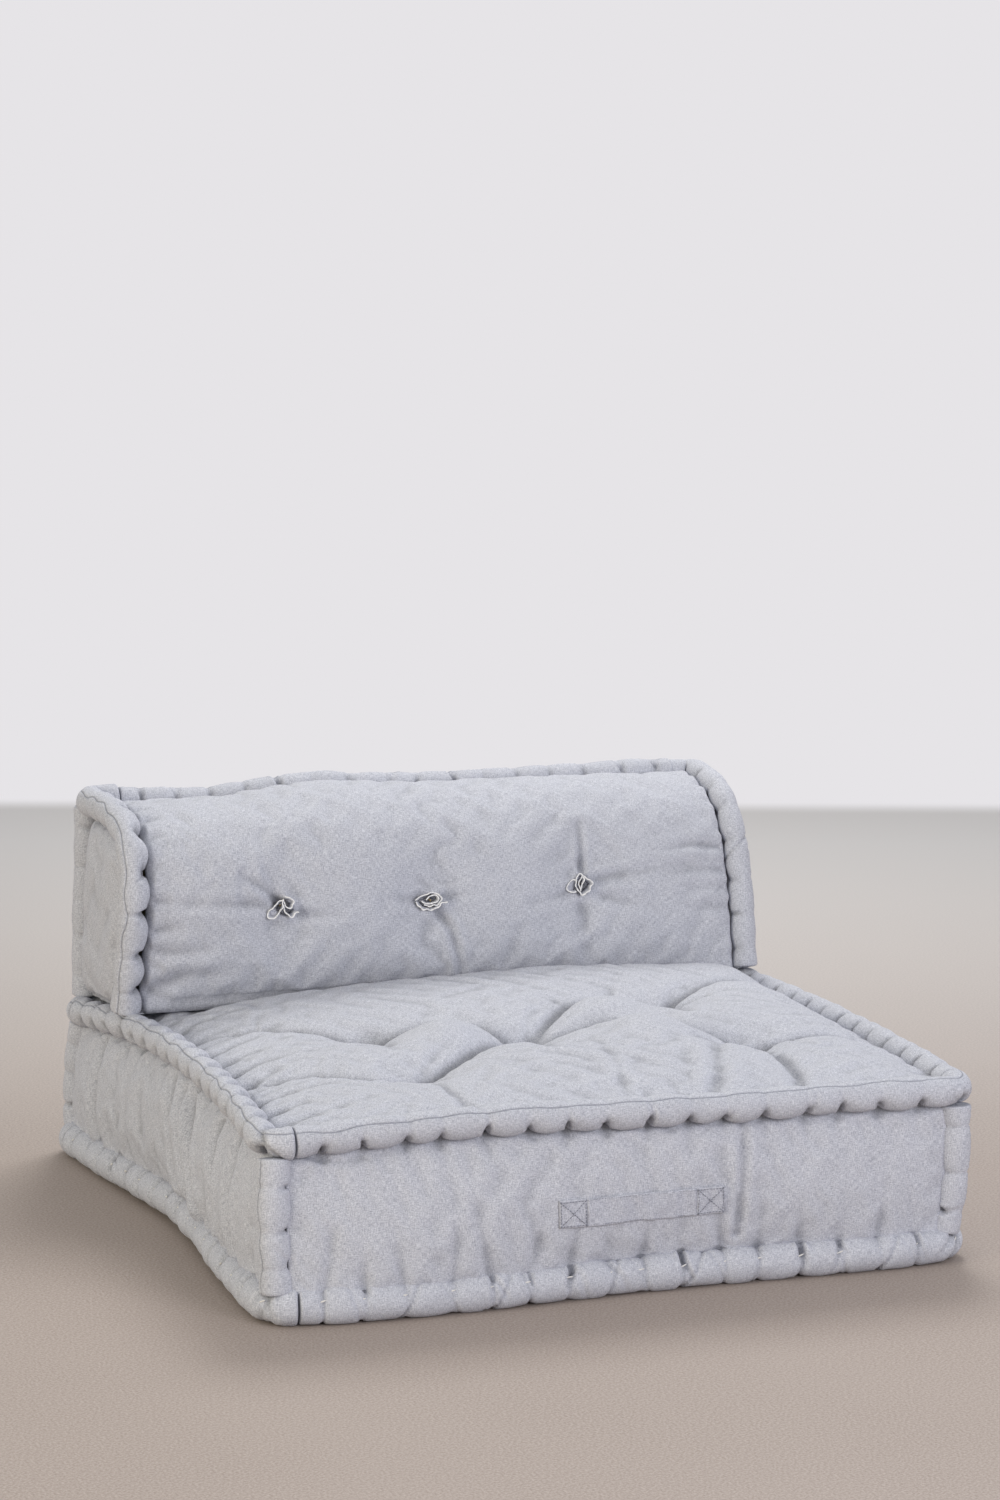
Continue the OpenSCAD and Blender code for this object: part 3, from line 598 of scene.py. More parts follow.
def seat_loop(lines, half):
    """The centre line of a seat loop, anticlockwise from above, with its outward direction."""
    flat = half - CORNER
    plain, normals = [], []
    for degrees, cx, cy in ((0, flat, -flat), (90, flat, flat), (180, -flat, flat), (270, -flat, -flat)):
        for a in np.radians(np.linspace(degrees - 90, degrees, 9)):
            plain.append((cx + CORNER * math.cos(a), cy + CORNER * math.sin(a)))
            normals.append((math.cos(a), math.sin(a)))
        nx, ny = math.cos(math.radians(degrees)), math.sin(math.radians(degrees))
        for step in np.linspace(-flat, flat, 60)[1:-1]:
            plain.append((half * nx - step * ny, half * ny + step * nx))
            normals.append((nx, ny))
    plain, normals = np.array(plain), np.array(normals)
    # Each side moves the points that lie near it, and two sides share those near a corner
    moved, height, weight = plain.copy(), 0, 0
    for side, (axis, sign) in SIDES.items():
        share = smooth(0.6, 1, sign * plain[:, axis] / half)
        out, z = side_line(lines, side, plain[:, 1 - axis], half)
        moved[:, axis] += sign * share * (out - half)
        height, weight = height + share ** 4 * z, weight + share ** 4
    loop = np.column_stack([moved, height / weight, normals])
    loop = np.concatenate([loop, loop[:1]])
    run = lengths(loop[:, :3])
    at = np.linspace(0, run[-1], round(run[-1] / RING_STEP) + 1)[:-1]
    line = np.stack([np.interp(at, run, column) for column in loop.T], axis=1)
    loop, normal = line[:, :3], unit(np.column_stack([line[:, 3:], np.zeros(len(at))]))
    for _ in range(12):
        loop = 0.5 * loop + 0.25 * (np.roll(loop, 1, axis=0) + np.roll(loop, -1, axis=0))
    return loop, normal


top_loop, top_out = seat_loop(top_lines, HALF)
low_loop, low_out = seat_loop(low_lines, LOW_HALF)
print("top loop", round(len(top_loop) * RING_STEP, 2), "m, bottom loop", round(len(low_loop) * RING_STEP, 2), "m")

# %% [markdown]
# The roll round the top is sewn from four lengths. Each turns one corner before it meets the next, so the joints
# show as fine lines across the roll a little way past the corners, as they do at the front left of the photograph.

# %% Seat rolls
JOINT_PAST_CORNER = 0.029
up = np.array([0.0, 0.0, 1.0])
pieces, stitch_points, corner_lines = {}, {}, {}


def nearest_place(loop, point):
    return int(np.argmin(np.linalg.norm(loop[:, :2] - np.array(point), axis=1)))


def loop_parts(loop, h):
    """The loop cut into four: each part starts past one corner and ends past the next."""
    past = h - JOINT_PAST_CORNER
    starts = [nearest_place(loop, point) for point in ((-past, -h), (h, -past), (past, h), (-h, past))]
    for side, start, following in zip(SIDES, starts, starts[1:] + starts[:1]):
        yield side, (start + np.arange(2, (following - start) % len(loop))) % len(loop)


plain_top = {"pull": (0.0080, 0.0070), "front_pull": 0.0020, "creases": 3.0, "crease_depth": 0.0036, "uneven": 0.035,
             "plump": 0.55}
for number, (side, part) in enumerate(loop_parts(top_loop, HALF)):
    path = top_loop[part]
    marks = stitch_marks(lengths(path)[-1], 40 + number)
    stitch_points["top", side] = path[np.searchsorted(lengths(path), marks).clip(0, len(path) - 1)]
    # The seam of the front roll turns up towards the right, and the left roll is wrung like a rope
    how = {"front": {"pull": (0.0095, 0.0030), "seam_turn": np.linspace(0.10, -0.45, len(path))},
           "left": {"pull": (0.0095, 0.0125), "seam_turn": -0.1, "front_pull": 0.0036, "creases": 4.5, "plump": 0.95,
                    "crease_depth": 0.0048, "joints": [(mark, 0.010, 0.0036) for mark in marks]}}.get(side, {})
    pieces[f"seat_top_{side}_roll"] = rolled_edge(
        f"roll_top_{side}", path, top_out[part] + up, TOP_R, 40 + number, marks, **{**plain_top, **how})
for number, (side, part) in enumerate(loop_parts(low_loop, LOW_HALF)):
    path = low_loop[part]
    marks = stitch_marks(lengths(path)[-1], 60 + number)
    stitch_points["low", side] = path[np.searchsorted(lengths(path), marks).clip(0, len(path) - 1)]
    joints = [(mark + 0.006 * math.sin(5 * k), 0.012 * math.sin(2.6 * k), 0.0028 + 0.0013 * math.sin(3.7 * k + number))
              for k, mark in enumerate(marks)]
    pieces[f"seat_bottom_{side}_roll"] = rolled_edge(
        f"roll_bottom_{side}", path, low_out[part] - up, LOW_R, 60 + number, marks, pull=(0.0035, 0.0028),
        front_pull=0.0034, creases=3.0, crease_depth=0.0052, seam_turn=0.5, uneven=0.034, joints=joints,
        floor_at=0.0004)

corner_places = {"front_left": (-1, -1), "front_right": (1, -1), "rear_left": (-1, 1), "rear_right": (1, 1)}
for number, (corner, (sx, sy)) in enumerate(corner_places.items()):
    low, high = (loop[nearest_place(loop, (sx * 0.55, sy * 0.55))] for loop in (low_loop, top_loop))
    line = low + (high - low) * even(7)[:, None]
    line[:, 2] = np.linspace(low[2] + LOW_R - 0.004, high[2] - TOP_R - 0.003, 7)
    line[:, :2] += np.array([sx, sy]) * 0.004 * np.sin(even(7)[:, None] * math.pi)
    corner_lines[corner] = line
    path = evenly(line, RING_STEP)
    turn = {"front_left": -0.5, "front_right": 0.2}.get(corner, 0.0)
    pieces[f"seat_{corner}_roll"] = rolled_edge(
        f"roll_{corner}", path, np.broadcast_to([sx, sy, 0.0], path.shape), SIDE_R, 80 + number, pull=(0.0024, 0.0030),
        front_pull=0.0030, creases=3.8, crease_depth=0.0034, seam_turn=turn)
print("seat rolls", len(pieces))

# %% [markdown]
# The back cushion stands a little crooked: its left end leans forward and turns over in a tight bend, and its right
# end leans back in a wide one. Its end rolls follow those lines up the front, over the bend and back along the top,
# and round the rear corner. Each line is a few measured points in the plane of the end.

# %% Lines and rolls of the back cushion
BACK_FOOT = 0.2500    # height of the foot, just above the seat
BACK_END, BACK_REAR = 0.476, 0.478
REAR_TURN = 0.018     # how tightly an end roll turns the rear corner
REAR_FOOT = {"left": 0.238, "right": 0.2495}   # the rear left corner has sunk with the seat under it
DRAW_IN = {-1: 0.006, 1: 0.001}    # how far each end leans inwards from its foot to its top
# Distance from the front of the seat's middle and height of the end rolls' centre lines, from foot to rear corner
end_points = {
    "left": [(0.252, 0.262), (0.240, 0.300), (0.229, 0.349), (0.219, 0.400), (0.217, 0.440), (0.226, 0.478),
             (0.255, 0.508), (0.300, 0.523), (0.360, 0.527), (0.420, 0.525), (0.460, 0.523)],
    "right": [(0.262, 0.262), (0.269, 0.300), (0.277, 0.350), (0.290, 0.400), (0.306, 0.440), (0.335, 0.480),
              (0.372, 0.503), (0.410, 0.514), (0.440, 0.518), (0.460, 0.519)]}
# The roll along the top of the rear, from the left end to the right
rear_top_x = [-0.470, -0.38, -0.29, -0.226, -0.149, 0.006, 0.164, 0.324, 0.470]
rear_top_z = [0.523, 0.517, 0.513, 0.520, 0.527, 0.519, 0.518, 0.520, 0.521]


def end_x(sign, z):
    return sign * (BACK_END - DRAW_IN[sign] * smooth(0.26, 0.50, z))


def end_line(points, sign):
    """An end roll's line: up the end, over the bend to the rear corner and a little way round it."""
    y, z = np.array(points).T
    x = end_x(sign, z)
    turn = np.radians([22, 45, 68, 90])
    x = np.concatenate([x, x[-1] - sign * REAR_TURN * (1 - np.cos(turn)), x[-1] - sign * np.array([0.026, 0.038])])
    y = np.concatenate([y, y[-1] + REAR_TURN * np.sin(turn), [BACK_REAR, BACK_REAR]])
    return np.column_stack([x, y, np.concatenate([z, np.full(6, z[-1])])])


def outward_in_plane(path):
    """The direction square to a line that runs in the plane of an end, away from the cushion."""
    along = np.gradient(path, axis=0)
    return unit(np.column_stack([np.zeros(len(path)), -along[:, 2], np.hypot(along[:, 0], along[:, 1]) + 1e-9]))


end_paths, upright_lines = {}, {}
for side, sign, seed, radius, how in (
        ("left", -1, 101, BACK_R, {"pull": (0.0120, 0.0035), "seam_turn": -0.10}),
        ("right", 1, 103, 0.0190, {"pull": (0.0030, 0.0035), "seam_turn": 1.3, "joints": [(0.184, 0.011, 0.0042)]})):
    path = end_paths[side] = evenly(end_line(end_points[side], sign), RING_STEP)
    pieces[f"back_{side}_end_roll"] = rolled_edge(
        f"roll_back_{side}_end", path, outward_in_plane(path) + np.array([sign * 0.9, 0, 0]), radius, seed,
        front_pull=0.0014, creases=2.2, crease_depth=0.0030, plump=0.8, **how)

x = np.linspace(-0.4226, 0.4316, 26)
path = evenly(np.column_stack([x, np.full(26, BACK_REAR), through(rear_top_x, rear_top_z, x)]), RING_STEP)
pieces["back_top_rear_roll"] = rolled_edge(
    "roll_back_top_rear", path, np.broadcast_to([0.0, 0.7, 0.7], path.shape), BACK_R * 0.95, 107,
    pull=(0.0050, 0.0070), creases=3.2, crease_depth=0.0036, seam_turn=0.6, uneven=0.035, plump=0.8)
for side, sign, seed in (("left", -1, 109), ("right", 1, 113)):
    z = np.linspace(REAR_FOOT[side], end_paths[side][-1, 2] - 0.012, 8)
    upright_lines[side] = np.column_stack([end_x(sign, z), np.full(8, BACK_REAR), z])
    path = evenly(upright_lines[side], RING_STEP)
    pieces[f"back_rear_{side}_roll"] = rolled_edge(
        f"roll_back_rear_{side}", path, np.broadcast_to([sign, 1.0, 0.0], path.shape), BACK_R, seed,
        pull=(0.0030, 0.0030), creases=1.8)
print("all rolls", len(pieces))

# %% [markdown]
# The panels are sheets of cloth held along their edges by the rolls and pulled in by the tufts. Each starts as a
# grid between its four rolls, swollen by a pillow curve, with hollows at its tufts and small dents at its stitches.
# A cloth simulation then gives it slack and a little pressure, so that the spare cloth buckles into pleats round the
# tufts and gathers along the seams, as it does on the real one. Folds that the photograph shows in one set place
# are drawn in as lines: a narrow valley with a low ridge on each side.

# %% Hollows and folds
INSET = 0.0150        # how far inside a roll's centre line a panel's edge lies


def pillow(u, v, power):
    """1 over the middle of a panel and 0 at its edges. A higher power makes the top flatter and the sides steeper."""
    return (1 - np.abs(2 * u - 1) ** power) * (1 - np.abs(2 * v - 1) ** power)


def hollow(a, b, at, reach):
    """A round bell, 1 high, at one place."""
    return np.exp(-((a - at[0]) ** 2 + (b - at[1]) ** 2) / reach**2)


def beside(a, b, line):
    """Distance of each place from a line of places, and how far along that line it lies, as a share."""
    line = np.asarray(line, float)
    run = lengths(line)
    best, share = np.full(a.shape, 9.0), np.zeros(a.shape)
    for k in range(len(line) - 1):
        step = line[k + 1] - line[k]
        t = np.clip(((a - line[k, 0]) * step[0] + (b - line[k, 1]) * step[1]) / (step @ step), 0, 1)
        away = np.hypot(a - line[k, 0] - t * step[0], b - line[k, 1] - t * step[1])
        share = np.where(away < best, (run[k] + t * (run[k + 1] - run[k])) / run[-1], share)
        best = np.minimum(best, away)
    return best, share


def fold(a, b, line, depth, width, start=1.0, end=0.0, ridge=0.45):
    """How far a fold along a line of places moves the cloth.

    Its depth goes from the share start to the share end along the line, and ridge is how high its two sides stand
    up, as a share of the depth.
    """
    best, share = beside(a, b, line)
    fade = (start + (end - start) * share) * smooth(0, 0.06, share + 0.05)
    return -depth * fade * (bell(best, width) - ridge * bell(best - 2 * width, width))


def valley(a, b, line, depth, width, end):
    """Depth of a valley with a sharp bottom and wide sides, as tight cloth takes between two tufts."""
    best, share = beside(a, b, line)
    return depth * (1 + (end - 1) * share) * np.exp((0.004 - np.hypot(best, 0.004)) / width)


def edge_pleats(a, marks, away, depth, width, length, seed):
    """Short pleats that run square from stitches along one edge: a is the distance along it, away is from it."""
    random = np.random.default_rng(seed)
    total = np.zeros(np.broadcast(a, away).shape)
    for mark in marks:
        reach, drift = length * random.uniform(0.6, 1.4), random.normal(0, 0.12)
        total -= depth * random.uniform(0.6, 1.3) * bell(a - mark - drift * away, width) * bell(away, reach)
    return total

# %% [markdown]
# The seat top is a grid between its four rolls, seen from above, with a height at each place: a crown, less a
# pointed pit at each tuft, less the valleys that join the tufts, plus a few lobes. Its rear strip is pressed flat,
# because the back cushion stands there.

# %% Grid of the seat top
# Five tufts show, and two more lie half under the back cushion
seat_tufts = [(-0.210, -0.275), (0.280, -0.245), (-0.010, -0.125), (-0.215, -0.045), (0.238, -0.005), (-0.210, 0.310),
              (0.280, 0.310)]
front_left, front_right, middle, rear_left, rear_right = seat_tufts[:5]
TOP_GRID = 141
CROWN_FOOT = 0.243    # height that the crown is measured from
PRESSED = 0.2470      # the back cushion stands on the rear of the seat and presses it flat to this height
PRESSED_FROM, PRESSED_FULLY = 0.196, 0.244     # the depths at which that begins and is complete
# How far inside each roll's centre line the top panel is sewn, and how high above that line
sewn_at = {"front": (0.015, 0.006), "rear": (0.015, 0.004), "left": (0.017, -0.008), "right": (0.015, 0.002)}
shares = crowded(TOP_GRID)
span = (HALF - INSET) * (2 * shares - 1)
edges = {}
for side, (axis, sign) in SIDES.items():
    out, z = side_line(top_lines, side, span, HALF)
    edges[side] = np.zeros((TOP_GRID, 3))
    edges[side][:, 1 - axis] = span
    edges[side][:, axis] = sign * (out - sewn_at[side][0])
    edges[side][:, 2] = z + sewn_at[side][1]
# At each corner the edges of two sides are led to one shared point
for side, other, a, b in (("front", "left", 0, 0), ("front", "right", -1, 0), ("rear", "left", 0, -1),
                          ("rear", "right", -1, -1)):
    height = (edges[side][a, 2] + edges[other][b, 2]) / 2
    meet = np.array([edges[other][b][0], edges[side][a][1], height])
    for key, index in ((side, a), (other, b)):
        weight = smooth(1, 0, even(TOP_GRID) if index == 0 else 1 - even(TOP_GRID))
        edges[key] = edges[key] + weight[:, None] * (meet - edges[key][index])
seat_top = between(edges["front"], edges["rear"], edges["left"], edges["right"], shares, shares)
v, u = np.meshgrid(shares, shares, indexing="ij")
x, y = seat_top[..., 0], seat_top[..., 1]
# The crown's height from left to right
crown = through([-0.48, -0.3, -0.15, 0.1, 0.2, 0.35, 0.48], [0.042, 0.045, 0.047, 0.051, 0.053, 0.052, 0.050], x)
rise = CROWN_FOOT + crown - seat_top[..., 2]
rise = rise * (1 - np.abs(2 * u - 1) ** np.where(u < 0.5, 3.6, 5.5)) * (1 - np.abs(2 * v - 1) ** 4.0)
for number, (tx, ty) in enumerate(seat_tufts):
    # A pit that is pointed at its tuft and opens wide, and is deeper for the two under the back cushion
    pit = np.exp(-np.sqrt((x - tx) ** 2 + (y - ty) ** 2 + 0.006 ** 2) / 0.050)
    rise = rise - (0.026 if number < 5 else 0.045) * pit
# Valleys that join the tufts and run out to the rolls: places, depth, width, and share of the depth at the far end
valleys = [
    ([front_left, (-0.13, -0.215), (-0.06, -0.150), middle], 0.028, 0.034, 1.0),
    ([middle, (0.04, -0.120), (0.12, -0.105), (0.19, -0.12), (0.228, -0.18), front_right], 0.030, 0.034, 1.0),
    ([front_right, (0.235, -0.262), (0.20, -0.255)], 0.026, 0.026, 0.5),
    ([middle, (-0.05, -0.06), (-0.12, -0.03), rear_left], 0.024, 0.034, 1.0),
    ([middle, (0.05, -0.06), (0.10, 0.00), (0.18, 0.03), rear_right], 0.024, 0.032, 0.9),
    ([front_left, (-0.27, -0.27), (-0.34, -0.22), (-0.45, -0.20)], 0.022, 0.028, 0.4),
    ([rear_left, (-0.26, 0.00), (-0.34, 0.06), (-0.45, 0.09)], 0.022, 0.030, 0.4),
    ([rear_right, (0.31, 0.05), (0.38, 0.10), (0.45, 0.12)], 0.022, 0.030, 0.4),
    ([front_right, (0.34, -0.245), (0.40, -0.235), (0.46, -0.24)], 0.020, 0.026, 0.4),
    ([front_left, (-0.205, -0.36), (-0.19, -0.47)], 0.008, 0.036, 0.2),
    ([rear_left, (-0.205, -0.12), (-0.215, -0.20)], 0.030, 0.032, 0.0),
    ([middle, (-0.005, -0.20), (-0.02, -0.28)], 0.032, 0.036, 0.0),
    ([rear_right, (0.245, -0.07), (0.245, -0.14)], 0.032, 0.032, 0.0),
    ([front_right, (0.28, -0.36), (0.275, -0.47)], 0.020, 0.026, 0.3),
]
# Where valleys meet they run into one another and don't add up, so their cubes are summed
rise = rise - sum(valley(x, y, *given) ** 3 for given in valleys) ** (1 / 3)
# Lobes that stand a little higher than the rest: place, height and size
lobes = [((-0.115, -0.125), 0.016, 0.055), ((0.13, -0.045), 0.012, 0.050), ((0.42, 0.17), 0.014, 0.065),
         ((0.15, -0.20), 0.016, 0.060), ((0.38, 0.03), 0.010, 0.070)]
for place, height, size in lobes:
    rise = rise + height * hollow(x, y, place, size)
for side, along, away, deep in (("front", x, y - y[0], 0.003), ("left", y, x - x[:, :1], 0.017),
                                ("right", y, x[:, -1:] - x, 0.006), ("rear", x, y[-1] - y, 0.004)):
    marks = stitch_points["top", side][:, 1 - SIDES[side][0]]
    rise = rise + edge_pleats(along, marks, away, deep, width=0.009, length=0.022, seed=7)
rise = rise * smooth(0, 0.012, least(u, 1 - u, v, 1 - v) * (HALF * 2))
seat_top[..., 2] += rise - 0.014 * bell(x - x[:, :1], 0.006)
seat_top[..., 2] += (np.minimum(seat_top[..., 2], PRESSED) - seat_top[..., 2]) * smooth(PRESSED_FROM, PRESSED_FULLY, y)

# Narrow folds of the seat top: the line, the depth, the half width, and the shares of the depth at its two ends
seat_folds = [
    ([(0.05, -0.20), (0.045, -0.33), (0.02, -0.46)], 0.0030, 0.007, 0.3, 0.9),
    ([(0.17, -0.19), (0.150, -0.30), (0.115, -0.46)], 0.0022, 0.010, 0.4, 0.9),
    ([(0.213, -0.277), (0.17, -0.40), (0.130, -0.475)], 0.0055, 0.011, 0.7, 0.8),
    ([(0.283, -0.333), (0.282, -0.402), (0.250, -0.475)], 0.0032, 0.008, 0.9, 0.5),
    ([(-0.02, -0.115), (-0.055, -0.085), (-0.10, -0.055)], 0.0034, 0.006, 1.0, 0.3),
    ([(-0.03, -0.125), (-0.085, -0.105), (-0.13, -0.085)], 0.0034, 0.006, 1.0, 0.3),
    ([(0.00, -0.105), (0.030, -0.04), (0.09, 0.02)], 0.0034, 0.006, 1.0, 0.3),
    ([(0.01, -0.115), (0.07, -0.07), (0.15, -0.05)], 0.0034, 0.006, 1.0, 0.3),
    ([(-0.205, -0.26), (-0.17, -0.21), (-0.13, -0.17)], 0.0030, 0.006, 1.0, 0.3),
    ([(-0.23, -0.28), (-0.29, -0.275), (-0.36, -0.25)], 0.0040, 0.008, 1.0, 0.2),
    ([(-0.22, -0.29), (-0.28, -0.31), (-0.36, -0.32)], 0.0030, 0.008, 1.0, 0.2),
    ([(-0.22, -0.05), (-0.28, -0.03), (-0.36, -0.02)], 0.0035, 0.008, 1.0, 0.2),
    ([(0.245, 0.00), (0.28, 0.05), (0.34, 0.09)], 0.0034, 0.007, 1.0, 0.3),
    ([(0.29, -0.235), (0.33, -0.265), (0.345, -0.31)], 0.0040, 0.007, 1.0, 0.5),
    ([(0.29, -0.24), (0.35, -0.27), (0.41, -0.29)], 0.0030, 0.007, 1.0, 0.2),
    ([(0.25, -0.01), (0.33, -0.01), (0.41, -0.03)], 0.0030, 0.008, 1.0, 0.2),
]
# Pleats run in from the stitches of the left roll towards the left tufts
left_marks = np.sort(stitch_points["top", "left"][:, 1])
for k, mark in enumerate(left_marks[left_marks < 0.2]):
    goal = (-0.45 + 0.15 + 0.05 * math.sin(k * 2.3), mark + 0.030 + 0.02 * math.sin(k * 1.7))
    seat_folds.append(([(-0.445, mark), (-0.40, mark + 0.012), goal], 0.0050, 0.008, 1.0, 0.0))
# A crease runs along the bottom of each valley
seat_folds += [(line, 0.0038, 0.0070, 1.0, 0.8 * end, 0.25) for line, _, _, end in valleys[:9]]


def seat_creases(fine):
    """How far the narrow folds move the seat top. They go on last, on the finer grid, so that they stay crisp."""
    x, y = fine[..., 0], fine[..., 1]
    rise = sum(fold(x, y, *given) for given in seat_folds)
    inner = least(x[:, -1:] - x, y - y[:1], y[-1:] - y)
    return rise * smooth(0.002, 0.012, inner) * smooth(0, 0.004, x - x[:, :1]) * smooth(0.22, 0.18, y)


print("seat top", seat_top.shape, "crown at", round(float(seat_top[..., 2].max()), 3))

# %% [markdown]
# A border is the upright strip between the top and the bottom roll of one side. Its lower edge bulges past its
# roll where the filling has slumped. Long folds, and pleats at its stitches, go on its finer grid.

# %% Grids of the borders
BORDER_GRID = (27, 124)
border_ends = {"front": ("front_left", "front_right"), "right": ("front_right", "rear_right"),
               "rear": ("rear_right", "rear_left"), "left": ("rear_left", "front_left")}
# How far the bottom edge of a border bulges past its roll: along the front at the knots, and one value elsewhere
over_low = {"front": [0.012, 0.013, 0.012, 0.004, 0.004, 0.008, 0.008], "left": [0.006] * 7}
SWELL = {"front": 0.012, "left": 0.018, "right": 0.013, "rear": 0.013}


def border_grid(side):
    """A border between its four rolls, swollen, and tucked in under them."""
    rows, columns = BORDER_GRID
    square, sign = SIDES[side]
    axis, outward, shift = 1 - square, np.zeros(3), np.zeros(3)
    outward[square] = sign
    shift[axis] = (sign if axis == 1 else -sign) * (SIDE_R - 0.0075)
    ups, across = crowded(rows), crowded(columns)
    left, right = (through(even(7), corner_lines[corner], ups) + way * shift - outward * 0.001
                   for corner, way in zip(border_ends[side], (1, -1)))
    edge = []
    for lines, half, end, over, drop in ((low_lines, LOW_HALF, 0, over_low.get(side, [0.004] * 7), LOW_R - 0.010),
                                         (top_lines, HALF, -1, [0.0] * 7, 0.006 - TOP_R)):
        along = left[end][axis] + (right[end][axis] - left[end][axis]) * across
        out, z = side_line(lines, side, along, half)
        over = through(knots, over, along)
        line = np.zeros((columns, 3))
        line[:, axis], line[:, square], line[:, 2] = along, sign * (out - 0.002 + over), z + drop - 0.7 * over
        edge.append(line)
    low, high = edge
    left = left + np.linspace(low[0] - left[0], high[0] - left[-1], rows)
    right = right + np.linspace(low[-1] - right[0], high[-1] - right[-1], rows)
    grid = between(low, high, left, right, ups, across)
    v, u = np.meshgrid(ups, across, indexing="ij")
    a, z = grid[..., axis], grid[..., 2]
    # About how far a place lies from the panel's edge, in metres
    hem = least(u * 0.9, (1 - u) * 0.9, v * 0.17, (1 - v) * 0.17)
    ends = least(np.abs(a - a[:, :1]), np.abs(a[:, -1:] - a))
    tucked = 0.010 * bell(z[-1:] - z, 0.007) + 0.003 * bell(ends, 0.005) + 0.010 * bell(z - z[:1], 0.006)
    return grid + outward * (SWELL[side] * pillow(u, v, 3.0) * smooth(0, 0.008, hem) - tucked)[..., None]


borders = {side: border_grid(side) for side in SIDES}
# Long folds of the left border: the y and z of the upper and the lower end, and the depth
left_folds = [((0.337, 0.200), (0.325, 0.032), 0.0050), ((0.022, 0.205), (-0.031, 0.078), 0.0045),
              ((-0.045, 0.205), (-0.117, 0.055), 0.0065), ((-0.090, 0.205), (-0.167, 0.050), 0.0060),
              ((-0.225, 0.205), (-0.260, 0.060), 0.0040), ((-0.329, 0.205), (-0.351, 0.048), 0.0045)]
# The set folds of the two borders that show
border_folds = {
    "left": [([high, low], 1.9 * depth, 0.012, 0.8, 0.9, 0.6) for high, low, depth in left_folds],
    "front": [([(0.172, 0.235), (0.166, 0.16), (0.158, 0.07)], 0.0042, 0.006, 0.5, 1.0, 0.7),
              ([(-0.43, 0.215), (-0.38, 0.205), (-0.31, 0.214)], 0.0034, 0.005, 1.0, 0.4)]}


def border_creases(side, number):
    """The narrow folds of one border, to be laid on its finer grid."""
    axis = 1 - SIDES[side][0]
    low_marks, top_marks = stitch_points["low", side][:, axis], stitch_points["top", side][:, axis]

    def creases(fine):
        a, z = fine[..., axis], fine[..., 2]
        deep = 0.0035 if side == "left" else 0.0055
        rise = edge_pleats(a, low_marks, z - z[:1], deep, width=0.0095, length=0.075, seed=21 + number)
        rise = rise + edge_pleats(a, top_marks, z[-1:] - z, 0.0045, width=0.009, length=0.030, seed=31 + number)
        for given in border_folds.get(side, []):
            rise = rise + fold(a, z, *given)
        return rise * smooth(0, 0.006, least(z - z[:1], z[-1:] - z))
    return creases


print("borders", {side: grid.shape for side, grid in borders.items()})

# %% [markdown]
# The back cushion's front panel climbs its face, turns over the bend and runs back to the rear roll in one piece.
# Height is no use as a measure there, so folds are placed by how far one has climbed along the cloth.

# %% Grid of the back's front
BACK_GRID = (76, 140)
FACE_ROWS = 45        # of these rows, the ones below the bend
FOOT_LIFT = 0.0012    # how far the panels' feet lie above the cushion's foot
TURN_START = BACK_REAR - 0.019     # where the end rolls begin to turn the rear corner
REAR_TIE_Z = 0.393    # height of the tufts on the rear
back_tufts = [(-0.249, 0.401), (-0.023, 0.393), (0.215, 0.398)]


def sewn_end(path, sign, rows):
    """An end roll's line moved in to where the front panel is sewn to it."""
    path = path[path[:, 1] < TURN_START][::6]
    line = through(even(len(path)), path, even(rows))
    line[:, 0] = end_x(sign, line[:, 2])
    return line + outward_in_plane(line) * 0.006 - np.array([sign * (0.0205 if sign < 0 else 0.0145), 0, 0])


rows, columns = BACK_GRID
left, right = (sewn_end(end_paths[side], sign, rows) for side, sign in (("left", -1), ("right", 1)))
share = crowded(columns)
foot = left[0] + (right[0] - left[0]) * share[:, None]
left[0, 2] = right[0, 2] = foot[:, 2] = BACK_FOOT + FOOT_LIFT
ridge_x = left[-1, 0] + (right[-1, 0] - left[-1, 0]) * share
ridge_z = through(rear_top_x, rear_top_z, ridge_x) + 0.003
ridge = np.column_stack([ridge_x, np.full(columns, BACK_REAR - BACK_R + 0.005), ridge_z])
back_front = between(foot, ridge, left + np.linspace([0, 0, 0], ridge[0] - left[-1], rows),
                     right + np.linspace([0, 0, 0], ridge[-1] - right[-1], rows), cross_shares=share)
v, u = np.meshgrid(even(rows), share, indexing="ij")
x, climb = back_front[..., 0], climbed(back_front)
rise = 0.023 * pillow(u, v, 4.0)
tuft_climbs = []
for tx, tz in back_tufts:
    column = int(np.argmin(np.abs(x[20] - tx)))
    height = np.interp(tz, back_front[:FACE_ROWS, column, 2], climb[:FACE_ROWS, column])
    tuft_climbs.append(height)
    rise = rise - 0.017 * hollow(x, climb, (tx, height), 0.062) - 0.004 * hollow(x, climb, (tx, height), 0.026)
marks = np.arange(0.03, 0.5, 0.047)      # the stitches of the end rolls, along the cloth
for away, deep in ((x - x[:, :1], 0.0065), (x[:, -1:] - x, 0.0030)):
    rise = rise + edge_pleats(climb, marks, away, deep, width=0.0085, length=0.028, seed=51)
hem = least(u * 0.9, (1 - u) * 0.9, v * 0.5, (1 - v) * 0.5)
# The cloth dives into the seams at both ends, which leaves a narrow dark gap beside each end roll
tucked = 0.016 * (bell(x - x[:, :1], 0.0045) + bell(x[:, -1:] - x, 0.0045))
back_front = back_front + surface_normals(back_front) * (rise * smooth(0, 0.010, hem) - tucked)[..., None]
back_front[..., 2] = np.maximum(back_front[..., 2], BACK_FOOT + FOOT_LIFT)

